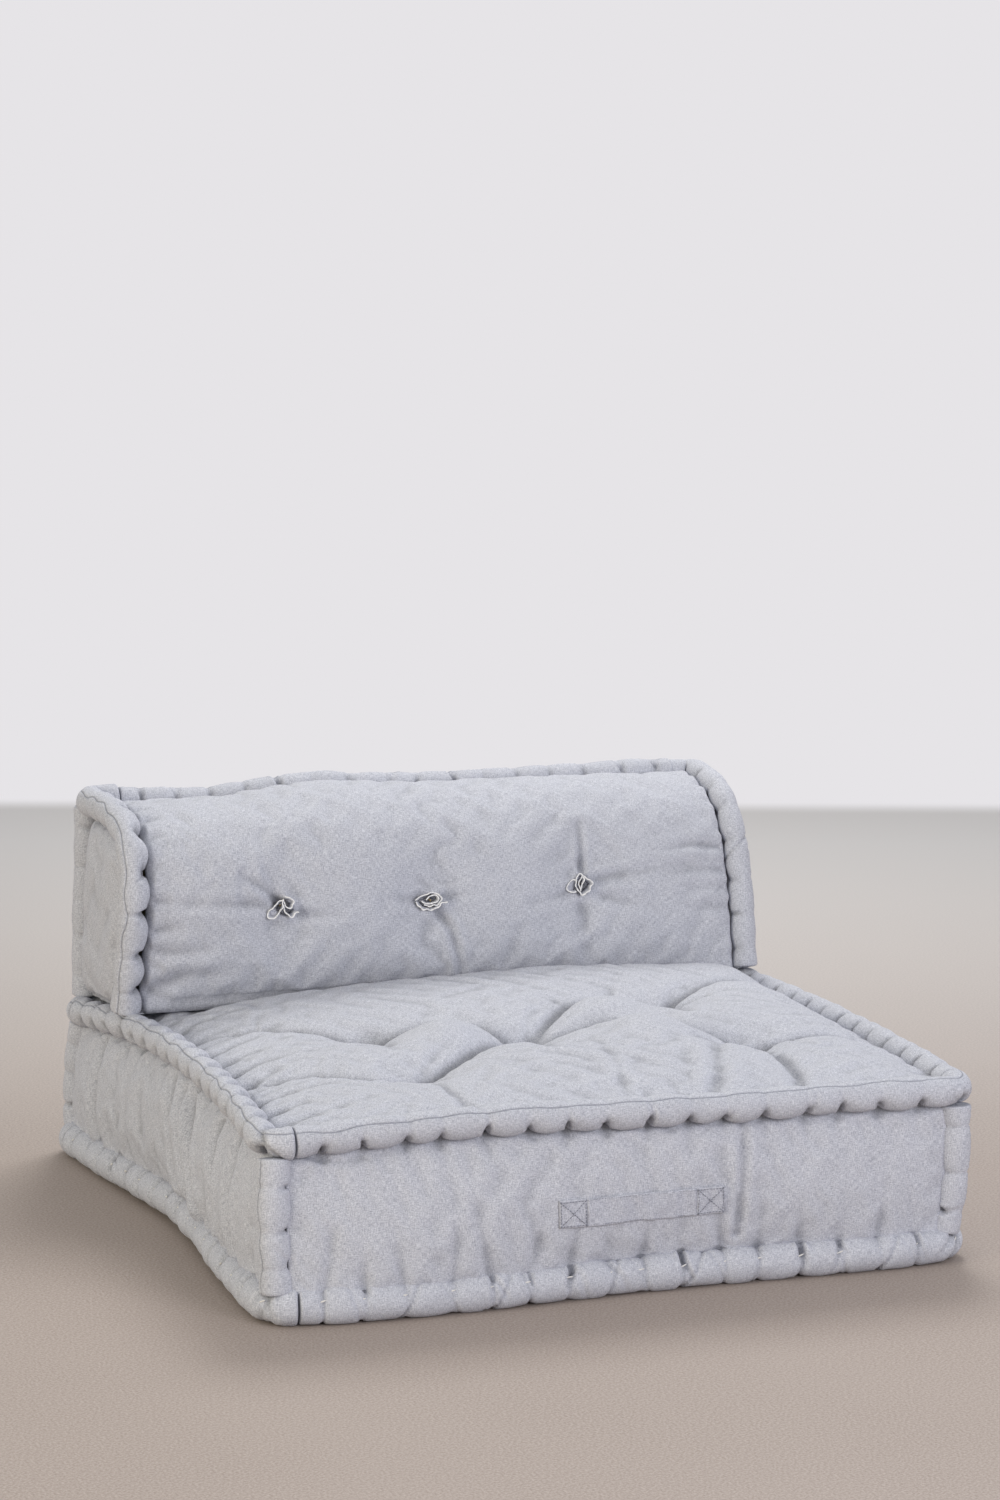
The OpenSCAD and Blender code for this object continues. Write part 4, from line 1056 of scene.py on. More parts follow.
# Folds that run out from a tuft: its number, then places across and up from it in millimetres, depth and width
tuft_folds = [
    (0, [(0, 0), (-36, 35), (-66, 55)], 0.0075, 0.0065), (0, [(0, 0), (-26, 48), (-33, 75)], 0.0045, 0.0065),
    (0, [(0, 0), (-61, 12), (-171, 20)], 0.0045, 0.0080), (0, [(0, 0), (34, -12), (79, -12)], 0.0035, 0.0070),
    (1, [(0, 0), (28, -40), (45, -100), (49, -140)], 0.0055, 0.0060),
    (1, [(0, 0), (-37, 8), (-77, 12)], 0.0035, 0.0080), (1, [(0, 0), (38, 8), (73, 12)], 0.0035, 0.0070),
    (2, [(0, 0), (2, 50), (4, 95)], 0.0065, 0.0055),
    (2, [(0, 0), (45, 12), (155, 22), (235, 30)], 0.0045, 0.0080), (2, [(0, 0), (35, -18), (105, -40)], 0.0045, 0.0080),
    (2, [(0, 0), (0, -60), (-3, -130)], 0.0025, 0.0100), (2, [(0, 0), (-45, -12), (-95, -15)], 0.0035, 0.0080),
    (2, [(240, 45), (185, 50), (135, 46)], 0.0050, 0.0070), (2, [(240, 10), (175, 12), (85, 4)], 0.0045, 0.0080),
    (2, [(240, -50), (195, -45), (155, -46)], 0.0035, 0.0080),
]
back_folds = [([(back_tufts[n][0] + dx / 1000, tuft_climbs[n] + dz / 1000) for dx, dz in line], depth, width)
              for n, line, depth, width in tuft_folds]
back_folds += [([(-0.46, 0.03), (-0.40, 0.055), (-0.33, 0.06)], 0.0055, 0.0120),
               ([(-0.46, 0.10), (-0.41, 0.095), (-0.36, 0.10)], 0.0035, 0.0090)]


def back_creases(fine):
    """The narrow folds of the back's front: those that run out from the tufts, and puckers under the top roll."""
    x, climb = fine[..., 0], climbed(fine)
    rise = sum(fold(x, climb, line, 1.25 * depth, width, 1.0, 0.15) for line, depth, width in back_folds)
    rise = np.maximum(rise, -0.009)
    # The puckers are deepest a little left of the middle, where the cloth was eased in
    away = climb[-1:] - climb
    deep = 0.0030 + 0.0060 * bell(x + 0.16, 0.12)
    for k, mark in enumerate(np.linspace(-0.43, 0.43, 19)):
        mark, lean, reach = mark + 0.012 * math.sin(5 * k), 0.25 * math.sin(k * 1.9), 0.040 + 0.03 * math.sin(k * 2.7)
        rise = rise - deep * (0.8 + 0.4 * math.sin(3 * k)) * bell(x - mark + lean * away, 0.0060) * bell(away, reach)
    return rise * smooth(0.002, 0.010, least(x - x[:, :1], x[:, -1:] - x, climb, away))


print("back front", back_front.shape, "length over the bend", round(float(climb[-1:].mean()), 3))

# %% [markdown]
# The rear is a plain panel with dimples at the same three tufts. Each end is a D-shaped panel whose grid is bounded
# by its foot, its front up to the bend, the line over the bend, and its upright rear.

# %% Grids of the back's rear and ends
def rear_foot_z(x):
    """Height of the foot along the rear, which sinks towards the left corner."""
    return BACK_FOOT + (REAR_FOOT["left"] - BACK_FOOT) * smooth(-0.25, -0.46, x)


back_panels = {}
rows, columns = 36, 110
x = np.linspace(0.461, -0.461, columns)
low = np.column_stack([x, np.full(columns, BACK_REAR + 0.001), rear_foot_z(x) + FOOT_LIFT])
high = np.column_stack([x * 0.985, np.full(columns, BACK_REAR + 0.002),
                        through(rear_top_x, rear_top_z, x) - BACK_R + 0.006])
ends = []
for side, sign, end in (("right", 1, 0), ("left", -1, -1)):
    line = through(even(8), upright_lines[side], even(rows)) - np.array([sign * INSET, -0.001, 0])
    ends.append(line + np.linspace(low[end] - line[0], high[end] - line[-1], rows))
grid = between(low, high, *ends)
v, u = np.meshgrid(even(rows), even(columns), indexing="ij")
x, z = grid[..., 0], grid[..., 2]
marks = np.arange(-0.44, 0.45, STITCH_PITCH)
rise = 0.013 * pillow(u, v, 4.0)
rise = rise + edge_pleats(x, marks, z[-1:] - z, 0.004, width=0.009, length=0.04, seed=55)
for tx, _ in back_tufts:
    rise = rise - 0.011 * hollow(x, z, (tx, REAR_TIE_Z), 0.055) - 0.010 * hollow(x, z, (tx, REAR_TIE_Z), 0.02)
grid[..., 1] += rise * smooth(0, 0.01, least(u * 0.9, (1 - u) * 0.9, v * 0.25, (1 - v) * 0.25))
back_panels["rear"] = grid
climb, across = crowded(54), crowded(50)
v, u = np.meshgrid(climb, across, indexing="ij")
for side, sign, swell in (("left", -1, 0.022), ("right", 1, 0.008)):
    path = end_paths[side]
    path = path[path[:, 1] < TURN_START]
    inner = path - outward_in_plane(path) * (BACK_R - 0.006)
    bend = int(np.argmin(np.abs(outward_in_plane(path)[:, 1] + 0.60)))
    parts = ((inner[:bend:4], climb), (inner[bend::4], across))
    front, over = (through(even(len(part)), part, at) for part, at in parts)
    rear = through(even(8), upright_lines[side], climb) - np.array([0, BACK_R - 0.006, 0])
    front[:, 0] = over[:, 0] = rear[:, 0] = sign * (BACK_END - 0.001)
    front[0, 2], rear[0, 2] = BACK_FOOT + FOOT_LIFT, min(BACK_FOOT, REAR_FOOT[side]) + FOOT_LIFT
    base = front[0] + (rear[0] - front[0]) * across[:, None]
    over = over + (front[-1] - over[0]) * (1 - across)[:, None]
    rear = rear + (over[-1] - rear[-1]) * climb[:, None]
    grid = between(base, over, front, rear, climb, across)
    y, z = grid[..., 1], grid[..., 2]
    rise = swell * pillow(u, v, 6.5) + 0.0012 * ripples(y, z, 71, 0.07)
    tucked = bell(y[:, :1] - y, 0.006) + bell(y[:, -1:] - y, 0.006) + bell(z[-1:] - z, 0.006)
    rise = rise * smooth(0, 0.01, least(u, 1 - u, v, 1 - v) * 0.25) - 0.014 * tucked.clip(0, 1)
    grid[..., 0] = end_x(sign, z) - sign * 0.001 + sign * rise
    back_panels[side] = grid if sign > 0 else grid[:, ::-1]
print("back panels", {k: g.shape for k, g in back_panels.items()})

# %% [markdown]
# One run of Blender's cloth does all the panels together. Every point is held softly where the grid put it, and hard
# along the seams and at the tufts. The cloth is cut a little large, which is what a negative shrink does, and gentle
# pressure stands in for the wadding. Gravity is off because the filling carries the cover. After a few frames the
# result is read back, no point moving further than a set cap, and the cloth is taken away again.

# %% Settle the cloth
CLOTH_FRAMES = 22
TIED = 0.011          # cloth nearer than this to a tuft's tie is held hard


def cloth_job(name, grid, slack, pressure, soft, tufts=(), tuft_axes=(0, 1), cap=0.012):
    """Makes one panel a cloth. Its free points are held by the weight soft, and cap limits how far they may go."""
    # Tiny unevenness, without which slack cloth has nowhere to start a fold
    place = metric_uv(grid)
    bumps = 0.0005 * ripples(place[..., 0], place[..., 1], sum(map(ord, name)), 0.045)
    grid = grid + surface_normals(grid) * bumps[..., None]
    rows, columns = grid.shape[:2]
    held = np.full((rows, columns), soft)
    held[[0, 1, -2, -1], :] = 1.0
    held[:, [0, 1, -2, -1]] = 1.0
    for tuft in tufts:
        held[np.hypot(*(grid[..., axis] - at for axis, at in zip(tuft_axes, tuft))) < TIED] = 1.0
    body = mesh_object(name, grid.reshape(-1, 3), [grid_faces(rows, columns)[0]], None, cover_canvas)
    group = body.vertex_groups.new(name="held")
    for weight in np.unique(held):
        group.add(np.where(held.ravel() == weight)[0].tolist(), float(weight), "REPLACE")
    modifier = body.modifiers.new("cloth", "CLOTH")
    wanted = {
        "quality": 5, "mass": 0.3, "tension_stiffness": 15, "compression_stiffness": 15, "shear_stiffness": 5,
        "bending_stiffness": 0.15, "air_damping": 2, "use_pressure": True, "uniform_pressure_force": pressure,
        "vertex_group_mass": "held", "pin_stiffness": 1, "shrink_min": -slack}
    for key, value in wanted.items():
        setattr(modifier.settings, key, value)
    modifier.settings.effector_weights.gravity = 0
    modifier.collision_settings.use_collision = False
    modifier.point_cache.frame_start, modifier.point_cache.frame_end = 1, 40
    return name, grid, body, cap


def settle(jobs):
    """Run all the cloth at once and return each panel's grid afterwards."""
    for number in range(1, CLOTH_FRAMES + 1):
        scene.frame_set(number)
    graph = bpy.context.evaluated_depsgraph_get()
    settled = {}
    for name, grid, body, cap in jobs:
        points = np.empty(grid.size, np.float32)
        body.evaluated_get(graph).data.vertices.foreach_get("co", points)
        move = points.reshape(grid.shape) - grid
        size = np.linalg.norm(move, axis=-1, keepdims=True)
        settled[name] = grid + move * np.minimum(1, cap / np.maximum(size, 1e-9))
        print(name, "moved", round(float(size.mean()) * 1000, 1), "mm, at most", round(float(size.max()) * 1000, 1))
    scene.frame_set(1)
    for name, grid, body, cap in jobs:
        mesh = body.data
        bpy.data.objects.remove(body)
        bpy.data.meshes.remove(mesh)
    return settled


grids = {"seat_top": seat_top, **{f"border_{side}": grid for side, grid in borders.items()},
         "back_front": back_front, **{f"back_{side}": grid for side, grid in back_panels.items()}}
jobs = [cloth_job("seat_top", seat_top, slack=0.008, pressure=0.10, soft=0.14, tufts=seat_tufts, cap=0.007)]
jobs += [cloth_job(f"border_{side}", grid, slack=0.006, pressure=0.15, soft=0.06)
         for side, grid in borders.items()]
jobs.append(cloth_job("back_front", back_front, slack=0.006, pressure=0.12, soft=0.08, tufts=back_tufts,
                      tuft_axes=(0, 2)))
jobs += [cloth_job(f"back_{side}", grid, slack=0.005, pressure=0.12, soft=0.08)
         for side, grid in back_panels.items()]
grids.update(settle(jobs))

# %% [markdown]
# Each settled grid becomes a sheet with two faces and a closed rim, as thick as the cloth, on a grid about twice as
# fine. The outer face also gets the faint unevenness of wadding under cotton.

# %% Panels
CLOTH = 0.0016


def sunken(grid, normals, passes, depth):
    """How far each point lies below the cloth round it, as a share of the given depth."""
    eased = grid
    for _ in range(passes):
        for _ in range(2):
            wide = np.pad(eased, ((1, 1), (0, 0), (0, 0)), mode="edge")
            eased = ((wide[:-2] + 2 * eased + wide[2:]) / 4).transpose(1, 0, 2)
    return np.clip(((eased - grid) * normals).sum(-1) / depth, 0, 1)


def cloth_sheet(name, grid, rows, columns, seed, creases=None, uneven=0.0004):
    """A closed sheet of cloth whose outer face is the given surface."""
    fine = refined(grid, rows, columns)
    place = metric_uv(fine)
    normals = surface_normals(fine)
    fine = fine + normals * (uneven * ripples(place[..., 0], place[..., 1], seed, 0.03))[..., None]
    if creases:
        fine = fine + normals * creases(fine)[..., None]
        normals = surface_normals(fine)
    # Painted shade: the cloth is darkened where it lies below the cloth round it, in fine folds and broad pits
    shade = (0.35 * sunken(fine, normals, passes=6, depth=0.0016)
             + 0.75 * sunken(fine, normals, passes=60, depth=0.011)).clip(0, 1)
    return shell(name, fine, fine - normals * CLOTH, cover_canvas, place, hollow=np.tile(shade.ravel(), 2))


pieces["seat_top_cover"] = cloth_sheet("cover_seat_top", grids["seat_top"], 220, 220, 1, seat_creases)
for number, side in enumerate(SIDES):
    pieces[f"seat_{side}_border"] = cloth_sheet(
        f"border_{side}", grids[f"border_{side}"], 60, 300, 2 + number, border_creases(side, number))
pieces["back_front_cover"] = cloth_sheet("cover_back_front", grids["back_front"], 150, 320, 7, back_creases)
pieces["back_rear_panel"] = cloth_sheet("panel_back_rear", grids["back_rear"], 70, 220, 8)
for side, seed in (("left", 9), ("right", 10)):
    pieces[f"back_{side}_end_panel"] = cloth_sheet(f"panel_back_{side}_end", grids[f"back_{side}"], 110, 100, seed)

# The underside lies flat on the floor, with a dimple at each tuft's knot; the back's base lies flat on the seat
UNDER_HALF, UNDER_Z, DIMPLE = 0.452, 0.0006, 0.013
BASE_HALF, BASE_FRONT = 0.462, (0.252, 0.260)     # half its width, and where its front edge lies at its two ends
u, v = np.meshgrid(np.linspace(-1, 1, 90), np.linspace(-1, 1, 90))
under = np.stack([u * UNDER_HALF, v * UNDER_HALF, np.full(u.shape, UNDER_Z)], axis=-1)
for tx, ty in seat_tufts:
    under[..., 2] += DIMPLE * smooth(0.022, 0.016, np.hypot(under[..., 0] - tx, under[..., 1] - ty))
pieces["seat_bottom_cover"] = cloth_sheet("cover_seat_bottom", under[:, ::-1], 90, 90, 11, uneven=0.0)
front_foot = np.linspace([-BASE_HALF, BASE_FRONT[0], BACK_FOOT], [BASE_HALF, BASE_FRONT[1], BACK_FOOT], 60)
rear_foot = np.linspace([-BASE_HALF, BACK_REAR, BACK_FOOT], [BASE_HALF, BACK_REAR, BACK_FOOT], 60)
rear_foot[:, 2] = rear_foot_z(rear_foot[:, 0])
base = front_foot[None] + (rear_foot - front_foot)[None] * even(16)[:, None, None]
pieces["back_base_panel"] = cloth_sheet("panel_back_base", base[:, ::-1], 32, 120, 12, uneven=0.0)
print("panels", len(pieces))

# %% [markdown]
# The filling can't be seen, but the cushions aren't hollow shells: foam slabs and wadding lie inside. Each is a
# closed block between two coarse copies of the surfaces round it, kept clear of the cover.

# %% Fillings
CLEAR = 0.012         # room between the filling and the cover
WAD_FOOT, CORE_TOP, CORE_FOOT = 0.158, 0.157, 0.018     # heights of the wadding's underside and the foam's faces


def flat_at(grid, size, height):
    made = grid * np.array([size, size, 1])
    made[..., 2] = height
    return made


wad_top = refined(grids["seat_top"], 41, 41)[2:-2, 2:-2] - np.array([0, 0, CLEAR])
pieces["seat_top_wadding"] = shell("filling_seat_wadding", wad_top, flat_at(wad_top, 1, WAD_FOOT), carded_cotton)
pieces["seat_core"] = shell("filling_seat_core", flat_at(wad_top, 0.96, CORE_TOP), flat_at(wad_top, 0.95, CORE_FOOT),
                            slab_foam)
front = refined(grids["back_front"], 31, 41)[2:-3, 3:-3]
depths = (CLEAR, CLEAR + 0.022, CLEAR + 0.023)
wad_front, wad_rear, core_front = (front - surface_normals(front) * depth for depth in depths)
core_rear = np.stack([core_front[..., 0], np.maximum(0.455, core_front[..., 1] + 0.004), core_front[..., 2]], axis=-1)
pieces["back_front_wadding"] = shell("filling_back_wadding", wad_front, wad_rear, carded_cotton)
pieces["back_core"] = shell("filling_back_core", core_front, core_rear, slab_foam)
print("fillings done")

# %% [markdown]
# Twine runs through each cushion at every tuft and ends in a knot on the seat. A round cord along a line is all it
# needs: a small tube function serves the twines, the knots and their tails.

# %% Twines and knots
TWINE_R, KNOT_R = 0.0015, 0.0013
TWINE_FOOT = 0.0145   # where a seat twine ends, above its knot under the seat
ROSETTE_OUT = 0.008   # how far a rosette's tie stands off the cloth, and so how far its twine runs past the cloth


def jute_cords(name, lines, radius, sides=10):
    """One piece of closed round cords along several lines."""
    points, faces, start = [], [], 0
    for line in lines:
        along = unit(np.gradient(line, axis=0))
        hint = np.array([0.0, 0.0, 1.0]) if abs(along[0, 2]) < 0.8 else np.array([1.0, 0.0, 0.0])
        across = np.zeros_like(line)
        for k in range(len(line)):
            hint = unit(hint - (hint @ along[k]) * along[k])
            across[k] = hint
        angle = np.linspace(0, 2 * np.pi, sides, endpoint=False)[None, :, None]
        square = np.cross(along, across)[:, None]
        rings = line[:, None] + radius * (np.cos(angle) * across[:, None] + np.sin(angle) * square)
        count, c = len(line) * sides, np.arange(sides)
        near = np.stack([np.full(sides, start + count), start + c, start + (c + 1) % sides], axis=1)
        ring = start + count - sides
        far = np.stack([np.full(sides, start + count + 1), ring + (c + 1) % sides, ring + c], axis=1)
        points += [rings.reshape(-1, 3), line[[0]] - along[[0]] * radius * 0.5, line[[-1]] + along[[-1]] * radius * 0.5]
        faces += [grid_faces(len(line), sides, wrap=True, start=start)[0][:, ::-1], near, far]
        start += count + 2
    return mesh_object(name, np.concatenate(points), faces, None, jute_twine)


def nearest_point(grid, axes, place):
    """The point of a grid that lies nearest to a place, seen along the third axis."""
    away = np.hypot(*(grid[..., axis] - at for axis, at in zip(axes, place)))
    return grid.reshape(-1, 3)[np.argmin(away)].copy()


def overhand(centre, size, tilt):
    """The line of a small overhand knot with two short tails."""
    t = np.linspace(0.12, 0.88, 46) * 2 * np.pi
    knot = np.column_stack([np.sin(t) + 2 * np.sin(2 * t), np.cos(t) - 2 * np.cos(2 * t), -np.sin(3 * t) * 1.3])
    return (knot * size / 3) @ np.array(Matrix.Rotation(tilt, 3, "Z")).T + centre


twines, seat_knots = [], []
for number, (tx, ty) in enumerate(seat_tufts):
    foot_z = nearest_point(grids["seat_top"], (0, 1), (tx, ty))[2]
    twines.append(np.linspace([tx, ty, TWINE_FOOT], [tx, ty, foot_z + 0.002], 12))
    seat_knots.append(overhand(np.array([tx, ty, foot_z + 0.0045]), 0.0055, 0.9 * number))
pieces["seat_tuft_twines"] = jute_cords("twines_seat", twines, TWINE_R)
pieces["seat_top_knots"] = jute_cords("knots_seat_top", seat_knots, KNOT_R, 8)
front_ties = [nearest_point(grids["back_front"][:FACE_ROWS], (0, 2), tuft) for tuft in back_tufts]
rear_ties = [nearest_point(grids["back_rear"], (0, 2), (tx, REAR_TIE_Z)) for tx, _ in back_tufts]
past = np.array([0, ROSETTE_OUT, 0])
pieces["back_tuft_twines"] = jute_cords(
    "twines_back", [np.linspace(a - past, b + past, 12) for a, b in zip(front_ties, rear_ties)], TWINE_R)
print("ties on the back at", [tuple(round(float(c), 3) for c in tie) for tie in front_ties])

# %% [markdown]
# Each tuft on the back is finished with a rosette: a short canvas ribbon folded into loops and tied through its
# middle. It stands off the cloth on its narrow side, so from the front one sees its raw pale edges as drawn lines
# with shade between them. Each of the three fell open differently. So each has its own line of folds, as places
# across and up in millimetres from the tie, and one function gives a ribbon its depth, thickness and cut edge.

# %% Rosettes
RIBBON_DEEP, RIBBON_THICK = 0.011, 0.0019
ROSETTE_SCALE = 1.25    # the folds were first noted a little small
rosette_folds = [
    [[(0, -10), (-5, -7), (-12, -1), (-18, 5), (-19, 10), (-15, 12.5), (-10, 11), (-6, 7), (-3, 2), (-1, -4), (0, -9)],
     [(-1, -3), (1, 3), (4, 8.5), (8, 11), (12, 9.5), (15, 6), (17, 5)],
     [(0, -8), (2, -2), (5, 1), (9, 0), (12, -4), (11, -8), (7, -11), (2, -12)]],
    [[(-19, 1), (-14, 7), (-5, 10.5), (4, 9.5), (12, 4), (19, 1.5)],
     [(-19, -1), (-13, -5.5), (-5, -8), (3, -9.5), (9, -7), (12, -1), (8, 4), (0, 6), (-9, 4.5)],
     [(-12, 0), (-6, 3), (2, 3), (8, -1), (9, -4), (5, -6.5), (-2, -5), (-7, -2)]],
    [[(0, 13), (6, 10), (12, 4), (14, -1), (10, -5), (4, -9), (0, -13), (-5, -9), (-7, -3), (-5, 5), (0, 12)],
     [(-6, 8), (-13, 9), (-17, 4), (-16, -2), (-10, -5), (-5, -4)],
     [(-1, 8), (1, 2), (3, -5), (1, -9), (-2, -5), (-2, 2), (-1, 7)]],
]
# Round a ribbon's section: up one face to just under the edge, over it and down the other face. Each place has its
# level, its side and how raw the cloth is there.
ribbon_section = [(0.0, 0.5, 0), (0.55, 0.5, 0), (0.90, 0.5, 0.35), (0.985, 0.36, 1), (1.0, 0.0, 1), (0.985, -0.36, 1),
                  (0.90, -0.5, 0.35), (0.55, -0.5, 0), (0.0, -0.5, 0)]


def ribbon(folds, centre, across, upward, outward, seed):
    """The rings of one folded ribbon."""
    random = np.random.default_rng(seed)
    places = np.array(folds, float) * ROSETTE_SCALE / 1000
    line = evenly(np.column_stack([places, np.zeros(len(places))]), 0.0007)[:, :2]
    along = unit(np.gradient(line, axis=0))
    square = np.column_stack([-along[:, 1], along[:, 0]])
    run = lengths(line)
    deep = RIBBON_DEEP * (1 + 0.10 * waves(run, seed, 0.02)) * random.uniform(0.85, 1.1)
    flare = 0.0009 * waves(run, seed + 1, 0.013)
    thick = RIBBON_THICK * (1 + 0.18 * waves(run, seed + 2, 0.006))
    rings = []
    for level, offset, _ in ribbon_section:
        spread = 0.55 + 0.45 * (0.35 + 0.65 * level)
        at = line * spread + square * (offset * thick + flare * level)[:, None]
        rings.append(centre + at[:, :1] * across + at[:, 1:] * upward + (level * deep - 0.002)[:, None] * outward)
    return np.stack(rings, axis=1)


def rosette_piece(name, ties, outward, seed, shift):
    outward = np.array(outward, float)
    across = unit(-np.cross(outward, up))
    upward = -np.cross(outward, across)
    points, faces, marks, start = [], [], [], 0
    for number, tie in enumerate(ties):
        centre = tie + np.array([0, ROSETTE_OUT * outward[1], 0])
        for k, folds in enumerate(rosette_folds[(number + shift) % 3]):
            rings = ribbon(folds, centre, across, upward, outward, seed + 10 * number + k)
            rows, columns = rings.shape[:2]
            c = np.arange(columns)[None]
            points.append(rings.reshape(-1, 3))
            marks += [raw for _, _, raw in ribbon_section] * rows
            faces += [grid_faces(rows, columns, wrap=True, start=start)[0], start + c[:, ::-1],
                      start + (rows - 1) * columns + c]
            start += rows * columns
    return mesh_object(name, np.concatenate(points), faces, None, ribbon_canvas, raw_edge=marks)


pieces["back_front_rosettes"] = rosette_piece("rosettes_front", front_ties, (-0.12, -1, 0.10), 200, 0)
pieces["back_rear_rosettes"] = rosette_piece("rosettes_rear", rear_ties, (0, 1, 0.05), 240, 1)
print("rosettes", len(front_ties) + len(rear_ties))

# %% [markdown]
# The carry strap is a strip of the canvas folded to 38 mm, lying flat on the front border and sewn down at both ends
# with a box and a cross. It follows the border's own settled surface a little way out, with rounded folded edges.
# The two sewn ends belong to the seat. The free middle belongs to a body of its own, which a hand pulls forward.

# %% Carry strap
x0, x1 = -0.0975, 0.1365     # where the strap begins and ends
STRAP_Z = 0.118              # height of its middle line
STRAP_W, STRAP_T, STRAP_END = 0.037, 0.0024, 0.039     # its width, its thickness and the length of a sewn end
STRAP_GAP = 0.0004           # between the free middle and what lies round it
FEEL = (-0.016, 0.0, 0.016)  # places across the strap where it touches the border
front_fine = refined(grids["border_front"], 54, 248)

# Places across the strap and out from the cloth, round its closed section, with rounded edges
half = STRAP_W / 2
rounding = [(half - 0.001, 0.0), (half, STRAP_T * 0.35), (half - 0.0002, STRAP_T * 0.8),
            (half - 0.0016, STRAP_T * 1.12)]
strap_face = [(w, STRAP_T) for w in np.linspace(half - 0.0035, -half + 0.0035, 7)]
strap_section = np.array(rounding + strap_face + [(-w, t) for w, t in rounding[::-1]])


def border_y(x, z):
    """Depth of the front border's surface at places along it and up it."""
    middle = front_fine[len(front_fine) // 2, :, 0]
    columns = np.round(np.interp(x, middle, np.arange(len(middle)))).astype(int)
    return np.array([np.interp(high, front_fine[:, c, 2], front_fine[:, c, 1]) for high, c in zip(z, columns)])


def strap_piece(name, x0, x1, seed, air=0.0):
    x = np.linspace(x0, x1, max(6, round((x1 - x0) / 0.003)))
    height = STRAP_Z + 0.0010 * waves(x, 5, 0.12)
    w, t = strap_section.T
    wz = height[:, None] + w[None]
    xs = np.broadcast_to(x[:, None], wz.shape)
    lies_on = np.stack([border_y(x, height + off) for off in FEEL], axis=1)
    base = np.stack([np.interp(w, FEEL, row) for row in lies_on])
    points = np.stack([xs, base - (t[None] + air + 0.0003 * ripples(xs, wz, seed, 0.02)), wz], axis=-1)
    rows, columns = points.shape[:2]
    quads, places = grid_faces(rows, columns, wrap=True)
    around = np.append(lengths(strap_section), 0.08)
    uv = np.stack([x[places[..., 0]], around[places[..., 1]]], axis=-1)
    ends = [np.arange(columns)[None], (rows - 1) * columns + np.arange(columns)[::-1][None]]
    end_uv = [np.broadcast_to([at, 0.0], (1, columns, 2)) for at in (x0, x1)]
    return mesh_object(name, points.reshape(-1, 3), [quads[:, ::-1], *ends], [uv[:, ::-1], *end_uv], strap_canvas)


pieces["strap_left_end"] = strap_piece("strap_sewn_left", x0, x0 + STRAP_END, seed=301)
pieces["strap_right_end"] = strap_piece("strap_sewn_right", x1 - STRAP_END, x1, seed=302)
pieces["strap_grip"] = strap_piece("strap_grip_middle", x0 + STRAP_END + STRAP_GAP, x1 - STRAP_END - STRAP_GAP,
                                   seed=303, air=STRAP_GAP)
print("strap", [p.name for k, p in pieces.items() if k.startswith("strap")])

# %% [markdown]
# Stitches repeat hundreds of times, so Geometry Nodes lay them. One tree takes a set of lines, puts points on them
# at the pitch, stands a small thread-shaped body on each, turned along the line, and gives it its material. Three
# inputs set the sizes. The tree runs once for each kind of thread and body, and the result is kept as a plain mesh.

# %% A tree that lays stitches
def stitch_tree(material):
    tree = bpy.data.node_groups.new(f"stitches_{material.name}", "GeometryNodeTree")
    face = tree.interface
    face.new_socket("Lines", in_out="INPUT", socket_type="NodeSocketGeometry")
    for name, value in (("Pitch", 0.005), ("Stitch length", 0.0036), ("Thread radius", 0.0005)):
        face.new_socket(name, in_out="INPUT", socket_type="NodeSocketFloat").default_value = value
    face.new_socket("Stitches", in_out="OUTPUT", socket_type="NodeSocketGeometry")
    given = add(tree, "NodeGroupInput").outputs
    curve = add(tree, "GeometryNodeMeshToCurve", {"Mesh": given["Lines"]})
    marks = add(tree, "GeometryNodeCurveToPoints", {"Curve": curve, "Length": given["Pitch"]}, mode="LENGTH")
    body = add(tree, "GeometryNodeMeshUVSphere", {"Segments": 8, "Rings": 6, "Radius": 1.0})
    half = add(tree, "ShaderNodeMath", {0: given["Stitch length"], 1: 0.5}, operation="MULTIPLY")
    size = add(tree, "ShaderNodeCombineXYZ", {"X": given["Thread radius"], "Y": given["Thread radius"], "Z": half})
    shaped = add(tree, "GeometryNodeTransform", {"Geometry": body, "Scale": size})
    placed = add(tree, "GeometryNodeInstanceOnPoints", {
        "Points": marks, "Instance": shaped, "Rotation": marks.outputs["Rotation"]})
    real = add(tree, "GeometryNodeRealizeInstances", {"Geometry": placed})
    done = add(tree, "GeometryNodeSetMaterial", {"Geometry": real, "Material": material})
    add(tree, "NodeGroupOutput", {"Stitches": done})
    return tree


def lay_stitches(name, lines, material, pitch, length, radius):
    """Stitches along lines of points, as one plain mesh."""
    mesh = bpy.data.meshes.new(name)
    points, edges = [], []
    for line in lines:
        edges += [(len(points) + k, len(points) + k + 1) for k in range(len(line) - 1)]
        points += [tuple(map(float, p)) for p in line]
    mesh.from_pydata(points, edges, [])
    guide = new_object(name, mesh)
    modifier = guide.modifiers.new("stitches", "NODES")
    modifier.node_group = stitch_tree(material)
    wanted = {"Pitch": pitch, "Stitch length": length, "Thread radius": radius}
    for item in modifier.node_group.interface.items_tree:
        if item.in_out == "INPUT" and item.name in wanted:
            modifier[item.identifier] = wanted[item.name]
    made = bpy.data.meshes.new_from_object(guide.evaluated_get(bpy.context.evaluated_depsgraph_get()))
    guide.modifiers.clear()
    guide.data = made
    bpy.data.meshes.remove(mesh)
    made.materials.clear()
    made.materials.append(material)
    made.polygons.foreach_set("use_smooth", np.full(len(made.polygons), True))
    print(name, len(made.polygons), "faces")
    return guide

# %% [markdown]
# Now the lines for the tree: a box with a cross on each sewn end of the strap, a seam along both edges of its
# middle, and one short slanting line for each hand stitch beside a bottom roll.

# %% Stitches
# A hand stitch's distance from its roll's centre line, how far it is turned up round the roll, and its length
TICK_OUT, TICK_TURN, TICK_LONG = LOW_R - 0.0034, 0.55, 0.012


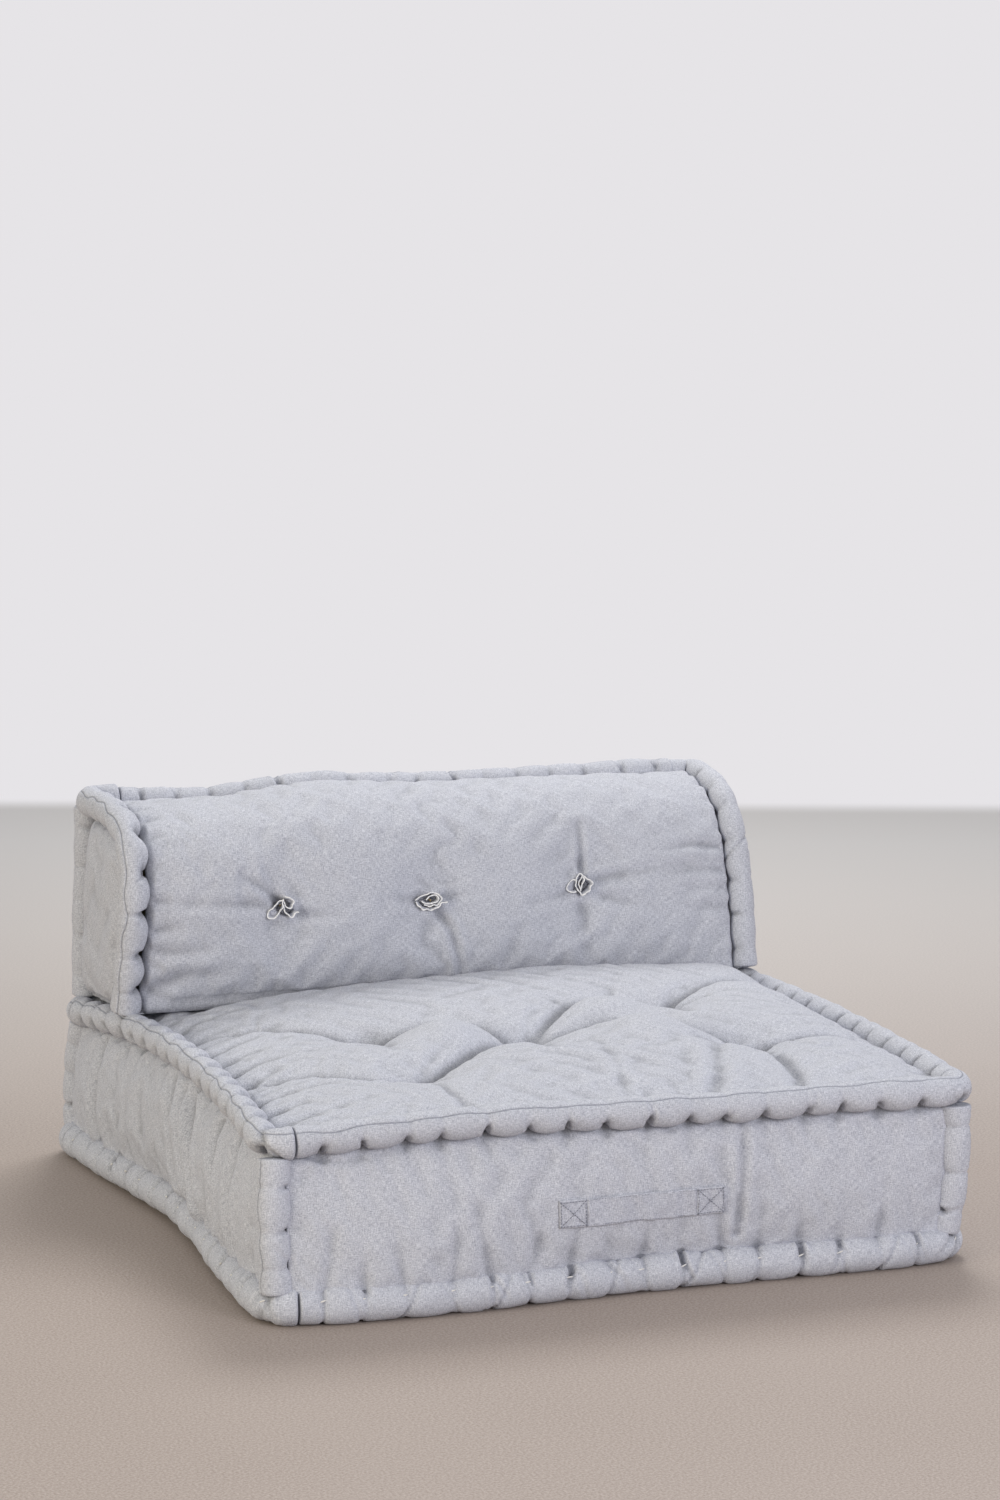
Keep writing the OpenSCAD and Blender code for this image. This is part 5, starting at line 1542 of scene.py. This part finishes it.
def strap_line(x_range, w_from, w_to, steps=12):
    """A line on the strap's face, by distance along it and across it."""
    xs, zs = np.linspace(*x_range, steps), STRAP_Z + np.linspace(w_from, w_to, steps)
    return np.column_stack([xs, border_y(xs, zs) - STRAP_T - 0.0005, zs])


def hand_stitches(marks, seed):
    """Short slanting lines where the hand stitches come out beside a bottom roll."""
    random = np.random.default_rng(seed)
    for mark in marks:
        k = nearest_place(low_loop, mark[:2])
        along = unit(low_loop[(k + 2) % len(low_loop)] - low_loop[k])
        middle = low_loop[k] + TICK_OUT * (math.cos(TICK_TURN) * low_out[k] + math.sin(TICK_TURN) * up)
        reach = TICK_LONG * random.uniform(0.7, 1.2) / 2
        slant = random.uniform(0.05, 0.45)
        way = unit(along * math.cos(slant) + up * math.sin(slant))
        yield [middle - way * reach, middle + way * reach]


box_lines = []
w = STRAP_W / 2 - 0.0028
for begin, finish in ((x0, x0 + STRAP_END), (x1 - STRAP_END, x1)):
    a, b = begin + 0.0025, finish - 0.0015
    box_lines += [strap_line(ends, *across) for ends, across in (
        ((a, b), (w, w)), ((a, b), (-w, -w)), ((a, a), (-w, w)), ((b, b), (-w, w)), ((a, b), (-w, w)),
        ((a, b), (w, -w)))]
w, ends = w + 0.0008, (x0 + STRAP_END + 0.001, x1 - STRAP_END - 0.001)
grip_lines = [strap_line(ends, w, w, 40), strap_line(ends, -w, -w, 40)]
ticks = [line for number, side in enumerate(SIDES) for line in hand_stitches(stitch_points["low", side], 400 + number)]
trims = [
    (lay_stitches("stitches_strap_boxes", box_lines, grey_thread, pitch=0.0042, length=0.0036, radius=0.00055), "seat"),
    (lay_stitches("stitches_strap_grip", grip_lines, grey_thread, pitch=0.0042, length=0.0034, radius=0.0004), "strap"),
    (lay_stitches("hand_stitches_bottom", ticks, white_thread, pitch=0.05, length=0.011, radius=0.0011), "seat"),
]
print("trims", [piece.name for piece, _ in trims])

# %% [markdown]
# Last, every piece is tied to the frame: which body it rides on, and which node it stands for, whose solid is then
# hidden.
# The knots under the seat keep their own solids, with jute on them.

# %% Tie the pieces to the frame
body_of_node = {node: body for body, nodes in frame["record"]["behaviour"]["bodies"].items() for node in nodes}
for node, piece in pieces.items():
    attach(piece, body_of_node[node])
    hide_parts(node)
for piece, body in trims:
    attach(piece, body)
for node, cad in frame["nodes"].items():
    if node not in pieces:
        cad.data.materials.clear()
        cad.data.materials.append(jute_twine)
        print("carried over", node)

# %% [markdown]
# The box round the visual model is measured last. The visual model has to stay the size of the solid one.

# %% Sizes and finish
final_box = [list(corner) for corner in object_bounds()]
print("visual box", [[round(c, 3) for c in corner] for corner in final_box])
